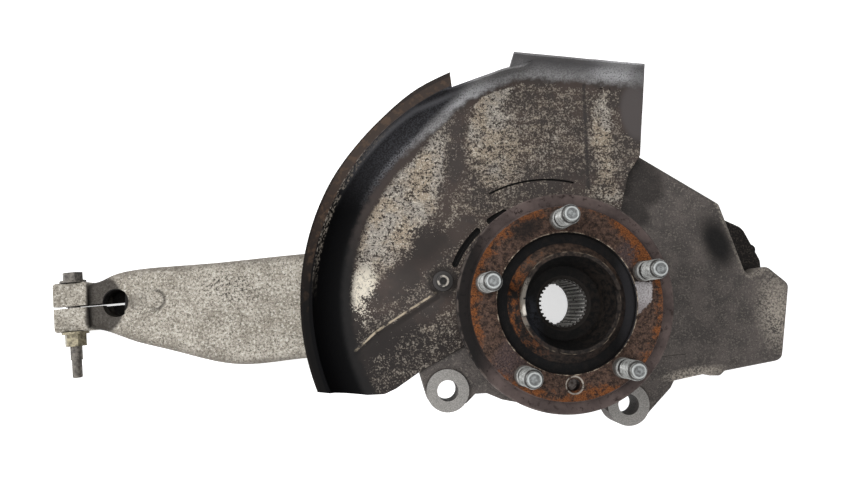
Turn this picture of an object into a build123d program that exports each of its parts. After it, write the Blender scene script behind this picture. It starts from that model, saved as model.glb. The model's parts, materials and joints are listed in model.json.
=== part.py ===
"""Front steering knuckle with a bolted wheel-bearing unit, hub flange and dust shield.

Frame: millimetres. The origin is where the hub axis meets the wheel-mounting face.
+Z is the hub axis, pointing outboard. -X runs along the long arm to the upper ball joint,
+X points to the lower ball joint, and +Y completes the frame.
"""

import os
from math import cos, radians, sin, sqrt, tan

from build123d import *

os.makedirs("parts", exist_ok=True)

# ---------------------------------------------------------------- driving dimensions

# wheel hub flange, wheel face at z = 0
flange_r = 79.0
flange_thickness = 12.0
rim_drop = 3.5
face_r = 69.5
groove_outer_r = 50.0
groove_inner_r = 43.0
groove_depth = 3.0
edge_break = 0.8
pilot_r = 36.25
pilot_wall = 3.2
pilot_height = 9.0
pilot_land = 4.5
lip_height = 5.0
lip_relief = 0.4
lip_count = 3
lip_angle = 60.0
lip_phase = 45.0
bowl_depth = 11.7
bowl_floor_r = 27.0
stud_circle_r = 60.0
stud_count = 5
stud_phase = 94.2
screw_hole_angle = -86.0
screw_hole_circle_r = 58.0
screw_hole_r = 4.2
screw_hole_mouth_r = 6.2

# wheel studs
stud_r = 7.0
stud_knurl_r = 7.6
stud_reach = 36.0
stud_collar_length = 9.0
stud_neck_r = 6.0
stud_neck_length = 4.5
stud_tip_length = 3.0
stud_tip_r = 4.6
stud_head_r = 10.5
stud_head_thickness = 4.5

# splined bore of the spindle
spline_root_r = 17.6
spline_tooth_height = 1.4
spline_tooth_count = 33
spline_tooth_base = 2.1
spline_tooth_tip = 1.1
spline_length = 52.0
spline_chamfer = 2.0
bore_relief_r = 19.0

# ball bearing, two rows
ball_r = 6.35
ball_circle_r = 33.0
ball_count = 13
outboard_row_z = -33.0
row_spacing = 26.0
race_clearance = 0.20
inner_shoulder_r = 28.6
outer_shoulder_r = 37.6
cage_thickness = 3.2
cage_margin = 1.5
pocket_clearance = 0.25
inner_ring_seat_r = 23.0
inner_ring_step = 13.0
spindle_end_lip = 4.0
spindle_end_r = 27.0
inner_land_r = 30.0
seal_land_r = 31.0
seal_seat_r = 41.5
seal_thickness = 4.0
seal_gap = 0.4

# bearing outer ring
ring_front_z = -20.5
ring_wall = 5.5
ring_pilot_step = 1.0
ring_flange_r = 72.0
ring_flange_thickness = 12.0
ring_end_overhang = 15.0
ring_bolt_circle_r = 61.0
ring_bolt_count = 4
ring_bolt_phase = 45.0

# hub bolts
hub_bolt_r = 6.0
hub_bolt_flat = 18.0
hub_bolt_head_height = 8.0
hub_bolt_flange_r = 12.0
hub_bolt_flange_thickness = 2.0
bolt_clearance = 0.5
fit_clearance = 0.05

# housing of the knuckle
seat_z = -61.5
housing_r = 80.0
housing_depth = 38.5
tunnel_r = 44.0
head_recess_depth = 12.0

# dust shield
sheet = 1.5
shield_center = (-3.2, 5.0)
shield_rim_r = 189.0
shield_lip = 8.0
roll_width = 22.0
roll_height = 17.0
roll_start_angle = 210.0
lip_end_angle = 115.0
roll_straight = 40.0
roll_bend_r = 40.0
tab_slope = -4.0
tab_length = 89.0
tab_wall_length = 98.0
shield_right_edge = [(79.5, 156.0), (75.5, 119.0), (65.4, 103.7), (61.0, 85.5), (57.0, 60.0)]
shield_lower_edge = [(-69.0, -33.0), (-100.5, -50.9)]
shield_toe = [(20.4, 9.7), (11.4, 5.5)]
shield_foot = [(11.4, 5.5), (-1.6, 5.0), (-59.1, 11.5)]
shield_beads = [
    [(31.5, 170.0), (33.4, 92.0)],
    [(-90.5, 8.4), (-135.8, -21.3), (-158.0, -42.0)],
]
shield_bead_width = 5.0
shield_bead_height = 1.1
shield_bead_wall = 1.0
tab_wall_height = 15.0
tab_wall_slant = 4.0
shield_annulus_r = 73.0
shield_bore_clearance = 0.6
shield_screw_at = (-84.0, 18.0)
shield_slot_circle_r = 80.5
shield_slot_width = 5.0
shield_slot_angles = [(115.4, 125.3), (134.3, 157.0)]
shield_slit_circle_r = 99.0
shield_slit_width = 1.6
shield_slit_angles = (77.8, 117.8)

# shield screw
screw_r = 3.0
screw_head_r = 4.8
screw_head_height = 4.0
screw_socket = 5.0
screw_washer_r = 7.8
screw_washer_thickness = 1.2
screw_length = 16.0
screw_boss_r = 10.0

# caliper lugs
lug_spots = [(-80.5, -66.8), (61.5, -78.5)]
lug_r = 16.6
lug_hole_r = 8.2
lug_face_z = -60.0
lug_depth = 24.0

# webs that carry the caliper lugs, as outlines around the housing
lug_webs = [
    [(-96.0, -10.0), (-103.5, -48.0), (-97.2, -69.0), (-80.5, -83.4), (-66.0, -76.5), (-59.0, -69.5),
     (-50.0, -69.0), (-38.0, -74.0), (-22.0, -77.0), (0.0, -50.0)],
    [(0.0, -50.0), (30.0, -74.0), (43.0, -82.0), (61.5, -95.0), (72.7, -90.6), (79.3, -83.4),
     (96.0, -66.0), (110.0, -40.0)],
]

# long arm to the upper ball joint: plan outline and side outline, as (x, y) and (x, z)
arm_upper_edge = [
    (-50.0, 66.0), (-110.0, 50.0), (-197.5, 44.3), (-278.0, 37.1), (-324.0, 34.2),
    (-355.0, 30.7), (-368.0, 27.0), (-378.0, 22.2), (-392.0, 21.4),
]
arm_lower_edge = [
    (-50.0, -62.0), (-110.0, -48.0), (-197.5, -44.8), (-252.0, -50.0), (-314.8, -37.7),
    (-348.6, -29.6), (-362.0, -24.8), (-373.0, -21.4), (-392.0, -21.6),
]
arm_front = [
    (-50.0, -64.0), (-110.0, -86.0), (-197.5, -119.0), (-278.0, -133.5),
    (-340.0, -145.0), (-366.0, -148.5), (-392.0, -151.5),
]
arm_back = [
    (-50.0, -99.0), (-110.0, -124.0), (-197.5, -157.0), (-278.0, -172.0),
    (-340.0, -178.0), (-366.0, -179.0), (-392.0, -179.0),
]
arm_edge_r = 7.0
arm_pocket_wall = 10.0
arm_pocket_floor = 14.0
arm_pocket_spans = [(-118.0, -172.0), (-180.0, -236.0), (-244.0, -312.0)]
arm_pad_at = (-327.3, 5.4)
arm_pad_r = 7.6
arm_pad_height = 1.2

# split clamp of the upper ball joint
clamp_at = (-400.4, -0.9)
clamp_tilt = 5.0
clamp_length = 29.3
clamp_width = 42.6
clamp_front_z = -147.0
clamp_depth = 34.0
clamp_corner_r = 3.0
clamp_bore_r = 8.5
clamp_bore_z = -168.5
clamp_bore_length = 44.0
slit_width = 1.8
relief_offset = 38.8
relief_r = 12.0
relief_floor = 5.0

# pinch bolt and nut
pinch_r = 5.0
pinch_gap = 0.5
pinch_offset = 0.8
pinch_flat = 15.0
pinch_head_height = 7.0
pinch_flange_r = 11.0
pinch_flange_thickness = 2.0
pinch_thread_past = 24.5
pinch_end_length = 15.5
pinch_end_r = 4.2
nut_flat = 16.0
nut_height = 12.7
nut_flange_r = 11.3
nut_flange_thickness = 2.2

# web and block of the lower ball joint, as plan outlines
web_front_z = -62.5
web_corners = [
    ((-3.0, 128.0), 6.0), ((26.0, 149.0), 12.0), ((141.5, 80.8), 5.0), ((162.0, 22.8), 4.0),
    ((178.5, 31.0), 7.0),
    ((197.0, 16.0), 7.0), ((189.5, -44.6), 9.0), ((141.5, -53.3), 3.0), ((137.5, -57.0), 3.4),
    ((128.5, -57.0), 3.4),
    ((126.5, -55.3), 2.0), ((96.5, -61.5), 3.0), ((60.0, -60.0), 0.0), ((-40.0, 20.0), 0.0),
]
steering_web = [
    (-60.0, 0.0), (-80.0, 22.0), (-79.0, 50.0), (-58.0, 85.0), (-28.0, 107.0), (-2.0, 130.0),
    (26.0, 60.0),
]
steering_web_thickness = 16.0
web_edge_r = 3.0
block_region = ((134.0, -60.0), (200.0, 31.5))
ledge_front_z = -94.0
ledge_corners = [
    ((60.0, 66.0), 0.0), ((130.0, 84.0), 10.0), ((174.0, 64.5), 12.0), ((188.5, 37.0), 8.0),
    ((190.0, 10.0), 0.0),
    ((187.0, -40.0), 8.0), ((96.0, -58.0), 8.0), ((60.0, -50.0), 0.0),
]
ear_at = (183.5, 46.5)
ear_r = 4.5
ear_front_z = -100.0
ear_thickness = 8.0
block_back_z = -141.0
web_pocket_outline = [(86.0, 52.0), (126.0, 64.0), (136.0, 20.0), (126.0, -42.0), (92.0, -46.0)]
web_pocket_floor = 14.0
web_pocket_corner_r = 8.0
hollow_at = (138.6, 50.4)
hollow_half_length = 23.0
hollow_half_width = 10.5
hollow_turn = 111.0
lower_face_at = (192.2, -15.0)
lower_face_turn = -8.1
lower_bore_r = 9.0
lower_bore_length = 42.0
lower_bore_z = -102.0
lower_pad_r = 22.0
lower_pad_height = 0.4

# steering arm, hidden behind the shield
tie_rod_at = (16.0, 132.0)
tie_rod_boss_r = 19.0
tie_rod_bore_r = 8.0
steering_boss_depth = 36.0

# ---------------------------------------------------------------- values that follow


def edge_at(points, x):
    """The second coordinate of an outline at a given x, between its two nearest points."""
    for (x0, y0), (x1, y1) in zip(points, points[1:]):
        if x1 <= x <= x0:
            return y0 + (y1 - y0) * (x - x0) / (x1 - x0)
    return points[-1][1]


clamp_back_z = clamp_front_z - clamp_depth
pinch_z = clamp_bore_z + clamp_bore_r + pinch_r + bolt_clearance + pinch_gap
arm_pad_front_z = edge_at(arm_front, arm_pad_at[0]) + arm_pad_height
pinch_shank_length = clamp_width + pinch_thread_past
clamp_plane = Plane((*clamp_at, clamp_front_z)).rotated((0, 0, clamp_tilt))
clamp_end_plane = Plane(
    clamp_plane.from_local_coords((-clamp_length / 2, 0, clamp_bore_z - clamp_front_z)),
    x_dir=clamp_plane.y_dir, z_dir=-clamp_plane.x_dir,
)
pinch_plane = Plane(
    clamp_plane.from_local_coords((pinch_offset, clamp_width / 2, pinch_z - clamp_front_z)),
    x_dir=clamp_plane.x_dir, z_dir=clamp_plane.y_dir,
)
lower_plane = Plane(
    (*lower_face_at, lower_bore_z),
    x_dir=(-sin(radians(lower_face_turn)), cos(radians(lower_face_turn)), 0),
    z_dir=(cos(radians(lower_face_turn)), sin(radians(lower_face_turn)), 0),
)
hollow_plane = Plane((*hollow_at, web_front_z)).rotated((0, 0, hollow_turn))
panel_front_z = seat_z + sheet
roll_start_r = shield_rim_r - shield_lip - roll_width

inboard_row_z = outboard_row_z - row_spacing
ring_r = seal_seat_r + ring_wall
ring_pilot_r = ring_r + ring_pilot_step
flange_back_z = -flange_thickness
inner_ring_front_z = inboard_row_z + inner_ring_step
inner_ring_back_z = inboard_row_z - inner_ring_step - 2.0
spindle_end_z = inner_ring_back_z - spindle_end_lip
ring_flange_front_z = seat_z + sheet + ring_flange_thickness
ring_flange_back_z = seat_z + sheet
ring_back_z = seat_z - ring_end_overhang
housing_back_z = seat_z - housing_depth
head_seat_z = housing_back_z + head_recess_depth
shoulder_z = ring_front_z - seal_thickness - 1.0
spline_end_z = -bowl_depth - spline_length
inboard_seal_z = inboard_row_z - ball_r - cage_margin - 2.0
encoder_sleeve_r = inner_land_r + 1.0
lip_gap = 360 / lip_count - lip_angle

hex_across = 2 / sqrt(3)
bottom_align = (Align.CENTER, Align.CENTER, Align.MIN)
top_align = (Align.CENTER, Align.CENTER, Align.MAX)


# ---------------------------------------------------------------- hub flange and spindle

with BuildPart() as hub_spindle:
    with BuildSketch(Plane.XZ):
        with BuildLine():
            Polyline(
                (spline_root_r + spline_chamfer, -bowl_depth),
                (bowl_floor_r, -bowl_depth),
                (pilot_r - pilot_wall, pilot_height),
                (pilot_r, pilot_height),
                (pilot_r, pilot_height - pilot_land),
                (groove_inner_r, -groove_depth),
                (groove_outer_r, -groove_depth),
                (groove_outer_r, -edge_break),
                (groove_outer_r + edge_break, 0),
                (face_r, 0),
                (face_r + 1.5, -rim_drop),
                (flange_r - edge_break, -rim_drop),
                (flange_r, -rim_drop - edge_break),
                (flange_r, flange_back_z + edge_break),
                (flange_r - edge_break, flange_back_z),
                (seal_land_r + 8.0, flange_back_z),
                (seal_land_r, flange_back_z - 5.0),
                (seal_land_r, shoulder_z),
                (inner_shoulder_r, shoulder_z - 1.0),
                (inner_shoulder_r, inner_ring_front_z),
                (inner_ring_seat_r, inner_ring_front_z),
                (inner_ring_seat_r, inner_ring_back_z),
                (spindle_end_r, inner_ring_back_z),
                (spindle_end_r, spindle_end_z + 1.5),
                (spindle_end_r - 2.0, spindle_end_z),
                (bore_relief_r, spindle_end_z),
                (bore_relief_r, spline_end_z),
                (spline_root_r, spline_end_z),
                (spline_root_r, -bowl_depth - spline_chamfer),
                close=True,
            )
        make_face()
    revolve(axis=Axis.Z)
    with Locations((0, 0, outboard_row_z)):
        Torus(ball_circle_r, ball_r + race_clearance, mode=Mode.SUBTRACT)
    # centring lips on the pilot
    with BuildSketch(Plane.XY.offset(pilot_height)):
        Circle(pilot_r - lip_relief)
        Circle(pilot_r - pilot_wall, mode=Mode.SUBTRACT)
        with PolarLocations(0, lip_count, start_angle=lip_phase + 180 / lip_count):
            Polygon(
                (0, 0),
                (2 * pilot_r, -2 * pilot_r * tan(radians(lip_gap / 2))),
                (2 * pilot_r, 2 * pilot_r * tan(radians(lip_gap / 2))),
                align=None,
                mode=Mode.SUBTRACT,
            )
    extrude(amount=lip_height)
    # internal spline teeth
    with BuildSketch(Plane.XY.offset(spline_end_z)):
        with PolarLocations(0, spline_tooth_count):
            Polygon(
                (spline_root_r + spline_tooth_height, -spline_tooth_base / 2),
                (spline_root_r - spline_tooth_height, -spline_tooth_tip / 2),
                (spline_root_r - spline_tooth_height, spline_tooth_tip / 2),
                (spline_root_r + spline_tooth_height, spline_tooth_base / 2),
                align=None,
            )
    extrude(amount=spline_length - spline_chamfer)
    # stud holes and the countersunk hole for the brake-disc screw
    with PolarLocations(stud_circle_r, stud_count, start_angle=stud_phase):
        Hole(stud_knurl_r)
    with PolarLocations(screw_hole_circle_r, 1, start_angle=screw_hole_angle):
        CounterSinkHole(screw_hole_r, screw_hole_mouth_r)
hub_spindle.part.label = "hub_spindle"
export_step(hub_spindle.part, "parts/hub_spindle.step")


# ---------------------------------------------------------------- wheel studs

with BuildPart() as stud:
    with BuildSketch(Plane.XZ):
        with BuildLine():
            Polyline(
                (0, flange_back_z - stud_head_thickness),
                (stud_head_r, flange_back_z - stud_head_thickness),
                (stud_head_r, flange_back_z),
                (stud_knurl_r, flange_back_z),
                (stud_knurl_r, 0),
                (stud_r, 0),
                (stud_r, stud_collar_length),
                (stud_neck_r, stud_collar_length + 1.5),
                (stud_neck_r, stud_collar_length + stud_neck_length),
                (stud_r, stud_collar_length + stud_neck_length + 1.0),
                (stud_r, stud_reach - stud_tip_length - 1.5),
                (stud_tip_r + 0.9, stud_reach - stud_tip_length),
                (stud_tip_r + 0.6, stud_reach - 0.6),
                (stud_tip_r, stud_reach),
                (0, stud_reach),
                close=True,
            )
        make_face()
    revolve(axis=Axis.Z)

with BuildPart() as wheel_studs:
    with PolarLocations(stud_circle_r, stud_count, start_angle=stud_phase):
        add(stud.part)
wheel_studs.part.label = "wheel_studs"
export_step(wheel_studs.part, "parts/wheel_studs.step")


# ---------------------------------------------------------------- bearing

with BuildPart() as bearing_inner_ring:
    with BuildSketch(Plane.XZ):
        with BuildLine():
            Polyline(
                (inner_ring_seat_r + fit_clearance, inner_ring_front_z),
                (inner_shoulder_r, inner_ring_front_z),
                (inner_shoulder_r, inboard_row_z - ball_r),
                (inner_land_r, inboard_row_z - ball_r - 1.0),
                (inner_land_r, inner_ring_back_z),
                (inner_ring_seat_r + fit_clearance, inner_ring_back_z),
                close=True,
            )
        make_face()
    revolve(axis=Axis.Z)
    with Locations((0, 0, inboard_row_z)):
        Torus(ball_circle_r, ball_r + race_clearance, mode=Mode.SUBTRACT)
bearing_inner_ring.part.label = "bearing_inner_ring"
export_step(bearing_inner_ring.part, "parts/bearing_inner_ring.step")

with BuildPart() as bearing_outer_ring:
    with BuildSketch(Plane.XZ):
        with BuildLine():
            Polyline(
                (seal_seat_r, ring_front_z),
                (ring_r - 1.0, ring_front_z),
                (ring_r, ring_front_z - 1.0),
                (ring_r, ring_flange_front_z),
                (ring_flange_r - 1.0, ring_flange_front_z),
                (ring_flange_r, ring_flange_front_z - 1.0),
                (ring_flange_r, ring_flange_back_z),
                (ring_pilot_r, ring_flange_back_z),
                (ring_pilot_r, ring_back_z + 1.0),
                (ring_pilot_r - 1.0, ring_back_z),
                (seal_seat_r, ring_back_z),
                (seal_seat_r, inboard_seal_z),
                (outer_shoulder_r, inboard_seal_z),
                (outer_shoulder_r, ring_front_z - seal_thickness),
                (seal_seat_r, ring_front_z - seal_thickness),
                close=True,
            )
        make_face()
    revolve(axis=Axis.Z)
    with Locations((0, 0, outboard_row_z), (0, 0, inboard_row_z)):
        Torus(ball_circle_r, ball_r + race_clearance, mode=Mode.SUBTRACT)
    with PolarLocations(ring_bolt_circle_r, ring_bolt_count, start_angle=ring_bolt_phase):
        Hole(hub_bolt_r + fit_clearance)
bearing_outer_ring.part.label = "bearing_outer_ring"
export_step(bearing_outer_ring.part, "parts/bearing_outer_ring.step")

for row_name, row_z in (("outboard", outboard_row_z), ("inboard", inboard_row_z)):
    for number, place in enumerate(PolarLocations(ball_circle_r, ball_count), start=1):
        with BuildPart(Plane.XY.offset(row_z)) as ball:
            with Locations(place):
                Sphere(ball_r)
        ball.part.label = f"{row_name}_ball_{number}"
        export_step(ball.part, f"parts/{ball.part.label}.step")

    with BuildPart() as cage:
        with BuildSketch(Plane.XZ):
            with Locations((ball_circle_r, row_z)):
                Rectangle(cage_thickness, 2 * (ball_r + pocket_clearance + cage_margin))
        revolve(axis=Axis.Z)
        with Locations((0, 0, row_z)):
            with PolarLocations(ball_circle_r, ball_count):
                Cylinder(
                    ball_r + pocket_clearance, 4 * cage_thickness, rotation=(0, 90, 0), mode=Mode.SUBTRACT
                )
    cage.part.label = f"{row_name}_cage"
    export_step(cage.part, f"parts/{cage.part.label}.step")

with BuildPart() as outboard_seal:
    with BuildSketch(Plane.XZ):
        with BuildLine():
            Polyline(
                (seal_land_r + seal_gap, ring_front_z - 2.6),
                (seal_land_r + seal_gap, ring_front_z - 1.0),
                (seal_land_r + 5.0, ring_front_z - 0.4),
                (seal_seat_r - fit_clearance, ring_front_z - 0.4),
                (seal_seat_r - fit_clearance, ring_front_z - seal_thickness),
                (seal_seat_r - 2.0, ring_front_z - seal_thickness),
                (seal_seat_r - 2.0, ring_front_z - 2.6),
                close=True,
            )
        make_face()
    revolve(axis=Axis.Z)
outboard_seal.part.label = "outboard_seal"
export_step(outboard_seal.part, "parts/outboard_seal.step")

with BuildPart() as inboard_seal:
    with BuildSketch(Plane.XZ):
        with BuildLine():
            Polyline(
                (encoder_sleeve_r + seal_gap, inboard_seal_z - 2.4),
                (encoder_sleeve_r + seal_gap, inboard_seal_z - 0.8),
                (seal_seat_r - 2.0, inboard_seal_z - 0.8),
                (seal_seat_r - 2.0, inboard_seal_z),
                (seal_seat_r - fit_clearance, inboard_seal_z),
                (seal_seat_r - fit_clearance, inboard_seal_z - 2.4),
                close=True,
            )
        make_face()
    revolve(axis=Axis.Z)
inboard_seal.part.label = "inboard_seal"
export_step(inboard_seal.part, "parts/inboard_seal.step")

with BuildPart() as encoder_ring:
    with BuildSketch(Plane.XZ):
        with BuildLine():
            Polyline(
                (inner_land_r + fit_clearance, inboard_seal_z - 1.0),
                (encoder_sleeve_r, inboard_seal_z - 1.0),
                (encoder_sleeve_r, inboard_seal_z - 3.0),
                (seal_seat_r - 1.5, inboard_seal_z - 3.0),
                (seal_seat_r - 1.5, inboard_seal_z - 4.4),
                (inner_land_r + fit_clearance, inboard_seal_z - 4.4),
                close=True,
            )
        make_face()
    revolve(axis=Axis.Z)
encoder_ring.part.label = "encoder_ring"
export_step(encoder_ring.part, "parts/encoder_ring.step")


# ---------------------------------------------------------------- hub bolts, from the inboard side

with BuildPart() as hub_bolts:
    with PolarLocations(ring_bolt_circle_r, ring_bolt_count, start_angle=ring_bolt_phase):
        with Locations((0, 0, head_seat_z)):
            Cylinder(hub_bolt_r, ring_flange_front_z - 2.0 - head_seat_z, align=bottom_align)
            Cylinder(hub_bolt_flange_r, hub_bolt_flange_thickness, align=top_align)
    with BuildSketch(Plane.XY.offset(head_seat_z - hub_bolt_flange_thickness)):
        with PolarLocations(ring_bolt_circle_r, ring_bolt_count, start_angle=ring_bolt_phase):
            RegularPolygon(hub_bolt_flat / 2 * hex_across, 6)
    extrude(amount=-hub_bolt_head_height)
hub_bolts.part.label = "hub_bolts"
export_step(hub_bolts.part, "parts/hub_bolts.step")


# ---------------------------------------------------------------- dust shield

def roll_path(first_angle, last_angle, with_tab):
    """The line where the flat panel turns up into its rolled rim, seen along the hub axis."""
    with BuildLine() as path:
        arc = CenterArc(shield_center, roll_start_r, first_angle, last_angle - first_angle)
        if with_tab:
            leaving = Line(arc @ 1, arc @ 1 + (arc % 1) * roll_straight)
            bend = JernArc(leaving @ 1, leaving % 1, roll_bend_r, tab_slope - (last_angle - 90))
            Line(bend @ 1, bend @ 1 + (bend % 1) * tab_length)
    return path.line


with BuildPart() as dust_shield:
    # flat panel with the ring that the bearing clamps
    with BuildSketch(Plane.XY.offset(seat_z)):
        with BuildLine():
            outer_edge = roll_path(roll_start_angle, lip_end_angle, True)
            add(outer_edge)
            toe = [(outer_edge @ 0) + Vector(step) for step in shield_toe]
            Polyline(outer_edge @ 1, *shield_right_edge, *shield_lower_edge, *toe, outer_edge @ 0)
        make_face()
        Circle(shield_annulus_r)
        Circle(ring_pilot_r + shield_bore_clearance, mode=Mode.SUBTRACT)
    extrude(amount=sheet)
    # rolled rim along the whole outer edge
    rim_path = roll_path(roll_start_angle, lip_end_angle, True).moved(Location((0, 0, panel_front_z)))
    with BuildSketch(Plane(rim_path @ 0, x_dir=Vector(0, 0, 1).cross(rim_path % 0), z_dir=rim_path % 0)):
        with BuildLine():
            inner_roll = EllipticalCenterArc(
                (0, roll_height), roll_width, roll_height, start_angle=-90, arc_size=90
            )
            outer_roll = EllipticalCenterArc(
                (0, roll_height - sheet), roll_width + sheet, roll_height, start_angle=-90, arc_size=90,
            )
            Line(inner_roll @ 0, outer_roll @ 0)
            Polyline(inner_roll @ 1, (roll_width + sheet, roll_height), outer_roll @ 1)
        make_face()
    sweep(path=rim_path)
    # narrow lip outside the roll, on the round part only
    lip_path = roll_path(roll_start_angle, lip_end_angle, False).moved(
        Location((0, 0, panel_front_z + roll_height))
    )
    with BuildSketch(Plane(lip_path @ 0, x_dir=Vector(0, 0, 1).cross(lip_path % 0), z_dir=lip_path % 0)):
        with Locations((roll_width, 0)):
            Rectangle(shield_lip, sheet, align=(Align.MIN, Align.MAX))
    sweep(path=lip_path)
    # straight foot below the rim
    foot_plane = Plane(((rim_path @ 0).X, (rim_path @ 0).Y, seat_z - sheet))
    with BuildSketch(foot_plane):
        Polygon(
            *shield_foot,
            (shield_foot[-1][0], -shield_rim_r),
            (shield_foot[0][0], -shield_rim_r),
            align=None,
        )
    extrude(amount=roll_height + 4 * sheet, mode=Mode.SUBTRACT)
    # taller wall on the straight tab
    tab_end = rim_path @ 1
    tab_along = rim_path % 1
    tab_out = Vector(0, 0, 1).cross(tab_along)
    wall_plane = Plane(
        tab_end + tab_out * roll_width + Vector(0, 0, roll_height - sheet), x_dir=-tab_along, z_dir=tab_out,
    )
    with BuildSketch(wall_plane):
        Polygon(
            (0, 0),
            (tab_wall_length, 0),
            (tab_wall_length - tab_wall_slant, tab_wall_height),
            (0, tab_wall_height),
            align=None,
        )
    extrude(amount=sheet)
    # pressed beads, hollow from behind
    for bead in shield_beads:
        with BuildSketch(Plane.XY.offset(panel_front_z)):
            with BuildLine():
                Polyline(*bead)
            trace(line_width=shield_bead_width)
        extrude(amount=shield_bead_height)
        with BuildSketch(Plane.XY.offset(seat_z)):
            with BuildLine():
                Polyline(*bead)
            trace(line_width=shield_bead_width - 2 * shield_bead_wall)
        extrude(amount=shield_bead_height, mode=Mode.SUBTRACT)
    # cooling slots, the slit of the stiffening step, and the holes for the screws
    with BuildSketch(Plane.XY.offset(panel_front_z)):
        for first_angle, last_angle in shield_slot_angles:
            SlotArc(
                CenterArc((0, 0), shield_slot_circle_r, first_angle, last_angle - first_angle),
                shield_slot_width,
            )
        slit_arc = shield_slit_angles[1] - shield_slit_angles[0]
        SlotArc(CenterArc((0, 0), shield_slit_circle_r, shield_slit_angles[0], slit_arc), shield_slit_width)
        with Locations(shield_screw_at):
            Circle(screw_r + bolt_clearance)
        with PolarLocations(ring_bolt_circle_r, ring_bolt_count, start_angle=ring_bolt_phase):
            Circle(hub_bolt_r + bolt_clearance)
    extrude(amount=-2 * sheet, mode=Mode.SUBTRACT)
dust_shield.part.label = "dust_shield"
export_step(dust_shield.part, "parts/dust_shield.step")

with BuildPart() as shield_washer:
    with BuildSketch(Plane.XY.offset(panel_front_z)):
        with Locations(shield_screw_at):
            Circle(screw_washer_r)
            Circle(screw_r + fit_clearance, mode=Mode.SUBTRACT)
    extrude(amount=screw_washer_thickness)
shield_washer.part.label = "shield_washer"
export_step(shield_washer.part, "parts/shield_washer.step")

with BuildPart() as shield_screw:
    with BuildSketch(Plane.XY.offset(panel_front_z + screw_washer_thickness)):
        with Locations(shield_screw_at):
            Circle(screw_head_r)
    extrude(amount=screw_head_height)
    with BuildSketch(Plane.XY.offset(panel_front_z + screw_washer_thickness + screw_head_height)):
        with Locations(shield_screw_at):
            RegularPolygon(screw_socket / 2 * hex_across, 6)
    extrude(amount=-screw_head_height * 0.7, mode=Mode.SUBTRACT)
    with BuildSketch(Plane.XY.offset(panel_front_z + screw_washer_thickness)):
        with Locations(shield_screw_at):
            Circle(screw_r)
    extrude(amount=-screw_length - screw_washer_thickness)
shield_screw.part.label = "shield_screw"
export_step(shield_screw.part, "parts/shield_screw.step")


# ---------------------------------------------------------------- knuckle casting

with BuildPart() as arm:
    with BuildSketch(Plane.XY):
        with BuildLine():
            upper = Spline(*arm_upper_edge)
            lower = Spline(*arm_lower_edge)
            Line(upper @ 0, lower @ 0)
            Line(upper @ 1, lower @ 1)
        make_face()
    extrude(amount=2 * clamp_back_z)
    with BuildSketch(Plane.XZ):
        with BuildLine():
            front = Spline(*arm_front)
            back = Spline(*arm_back)
            Line(front @ 0, back @ 0)
            Line(front @ 1, back @ 1)
        make_face()
    extrude(amount=2 * housing_r, both=True, mode=Mode.INTERSECT)
    fillet(arm.edges().sort_by(SortBy.LENGTH)[-4:], arm_edge_r)

with BuildPart() as clamp_block:
    with BuildSketch(clamp_plane):
        RectangleRounded(clamp_length, clamp_width, clamp_corner_r)
    extrude(amount=-clamp_depth)
    chamfer(clamp_block.faces().sort_by(Axis.Z)[-1].edges(), edge_break)

with BuildPart() as web:
    with BuildSketch(Plane.XY.offset(web_front_z)):
        with BuildLine():
            FilletPolyline(
                *[corner for corner, _ in web_corners],
                radius=[r for _, r in web_corners],
                close=True,
            )
        make_face()
    extrude(amount=housing_back_z - web_front_z)
    fillet(web.faces().sort_by(Axis.Z)[-1].edges(), web_edge_r)
    with BuildSketch(Plane.XY.offset(web_front_z)):
        Polygon(*steering_web, align=None)
    extrude(amount=-steering_web_thickness)

with BuildPart() as block:
    with BuildSketch(Plane.XY.offset(web_front_z - web_edge_r)):
        with BuildLine():
            FilletPolyline(
                *[corner for corner, _ in web_corners],
                radius=[r for _, r in web_corners],
                close=True,
            )
        make_face()
        Polygon(
            block_region[0],
            (block_region[1][0], block_region[0][1]),
            block_region[1],
            (block_region[0][0], block_region[1][1]),
            align=None,
            mode=Mode.INTERSECT,
        )
    extrude(amount=block_back_z - web_front_z + web_edge_r)
    with BuildSketch(Plane.XY.offset(ledge_front_z)):
        with BuildLine():
            FilletPolyline(
                *[corner for corner, _ in ledge_corners],
                radius=[r for _, r in ledge_corners],
                close=True,
            )
        make_face()
    extrude(amount=block_back_z - ledge_front_z)
    chamfer(block.faces().sort_by(Axis.Z)[0].edges(), 2 * edge_break)
    with BuildSketch(Plane.XY.offset(ear_front_z)):
        with Locations(ear_at):
            Circle(ear_r)
    extrude(amount=-ear_thickness)

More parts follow.
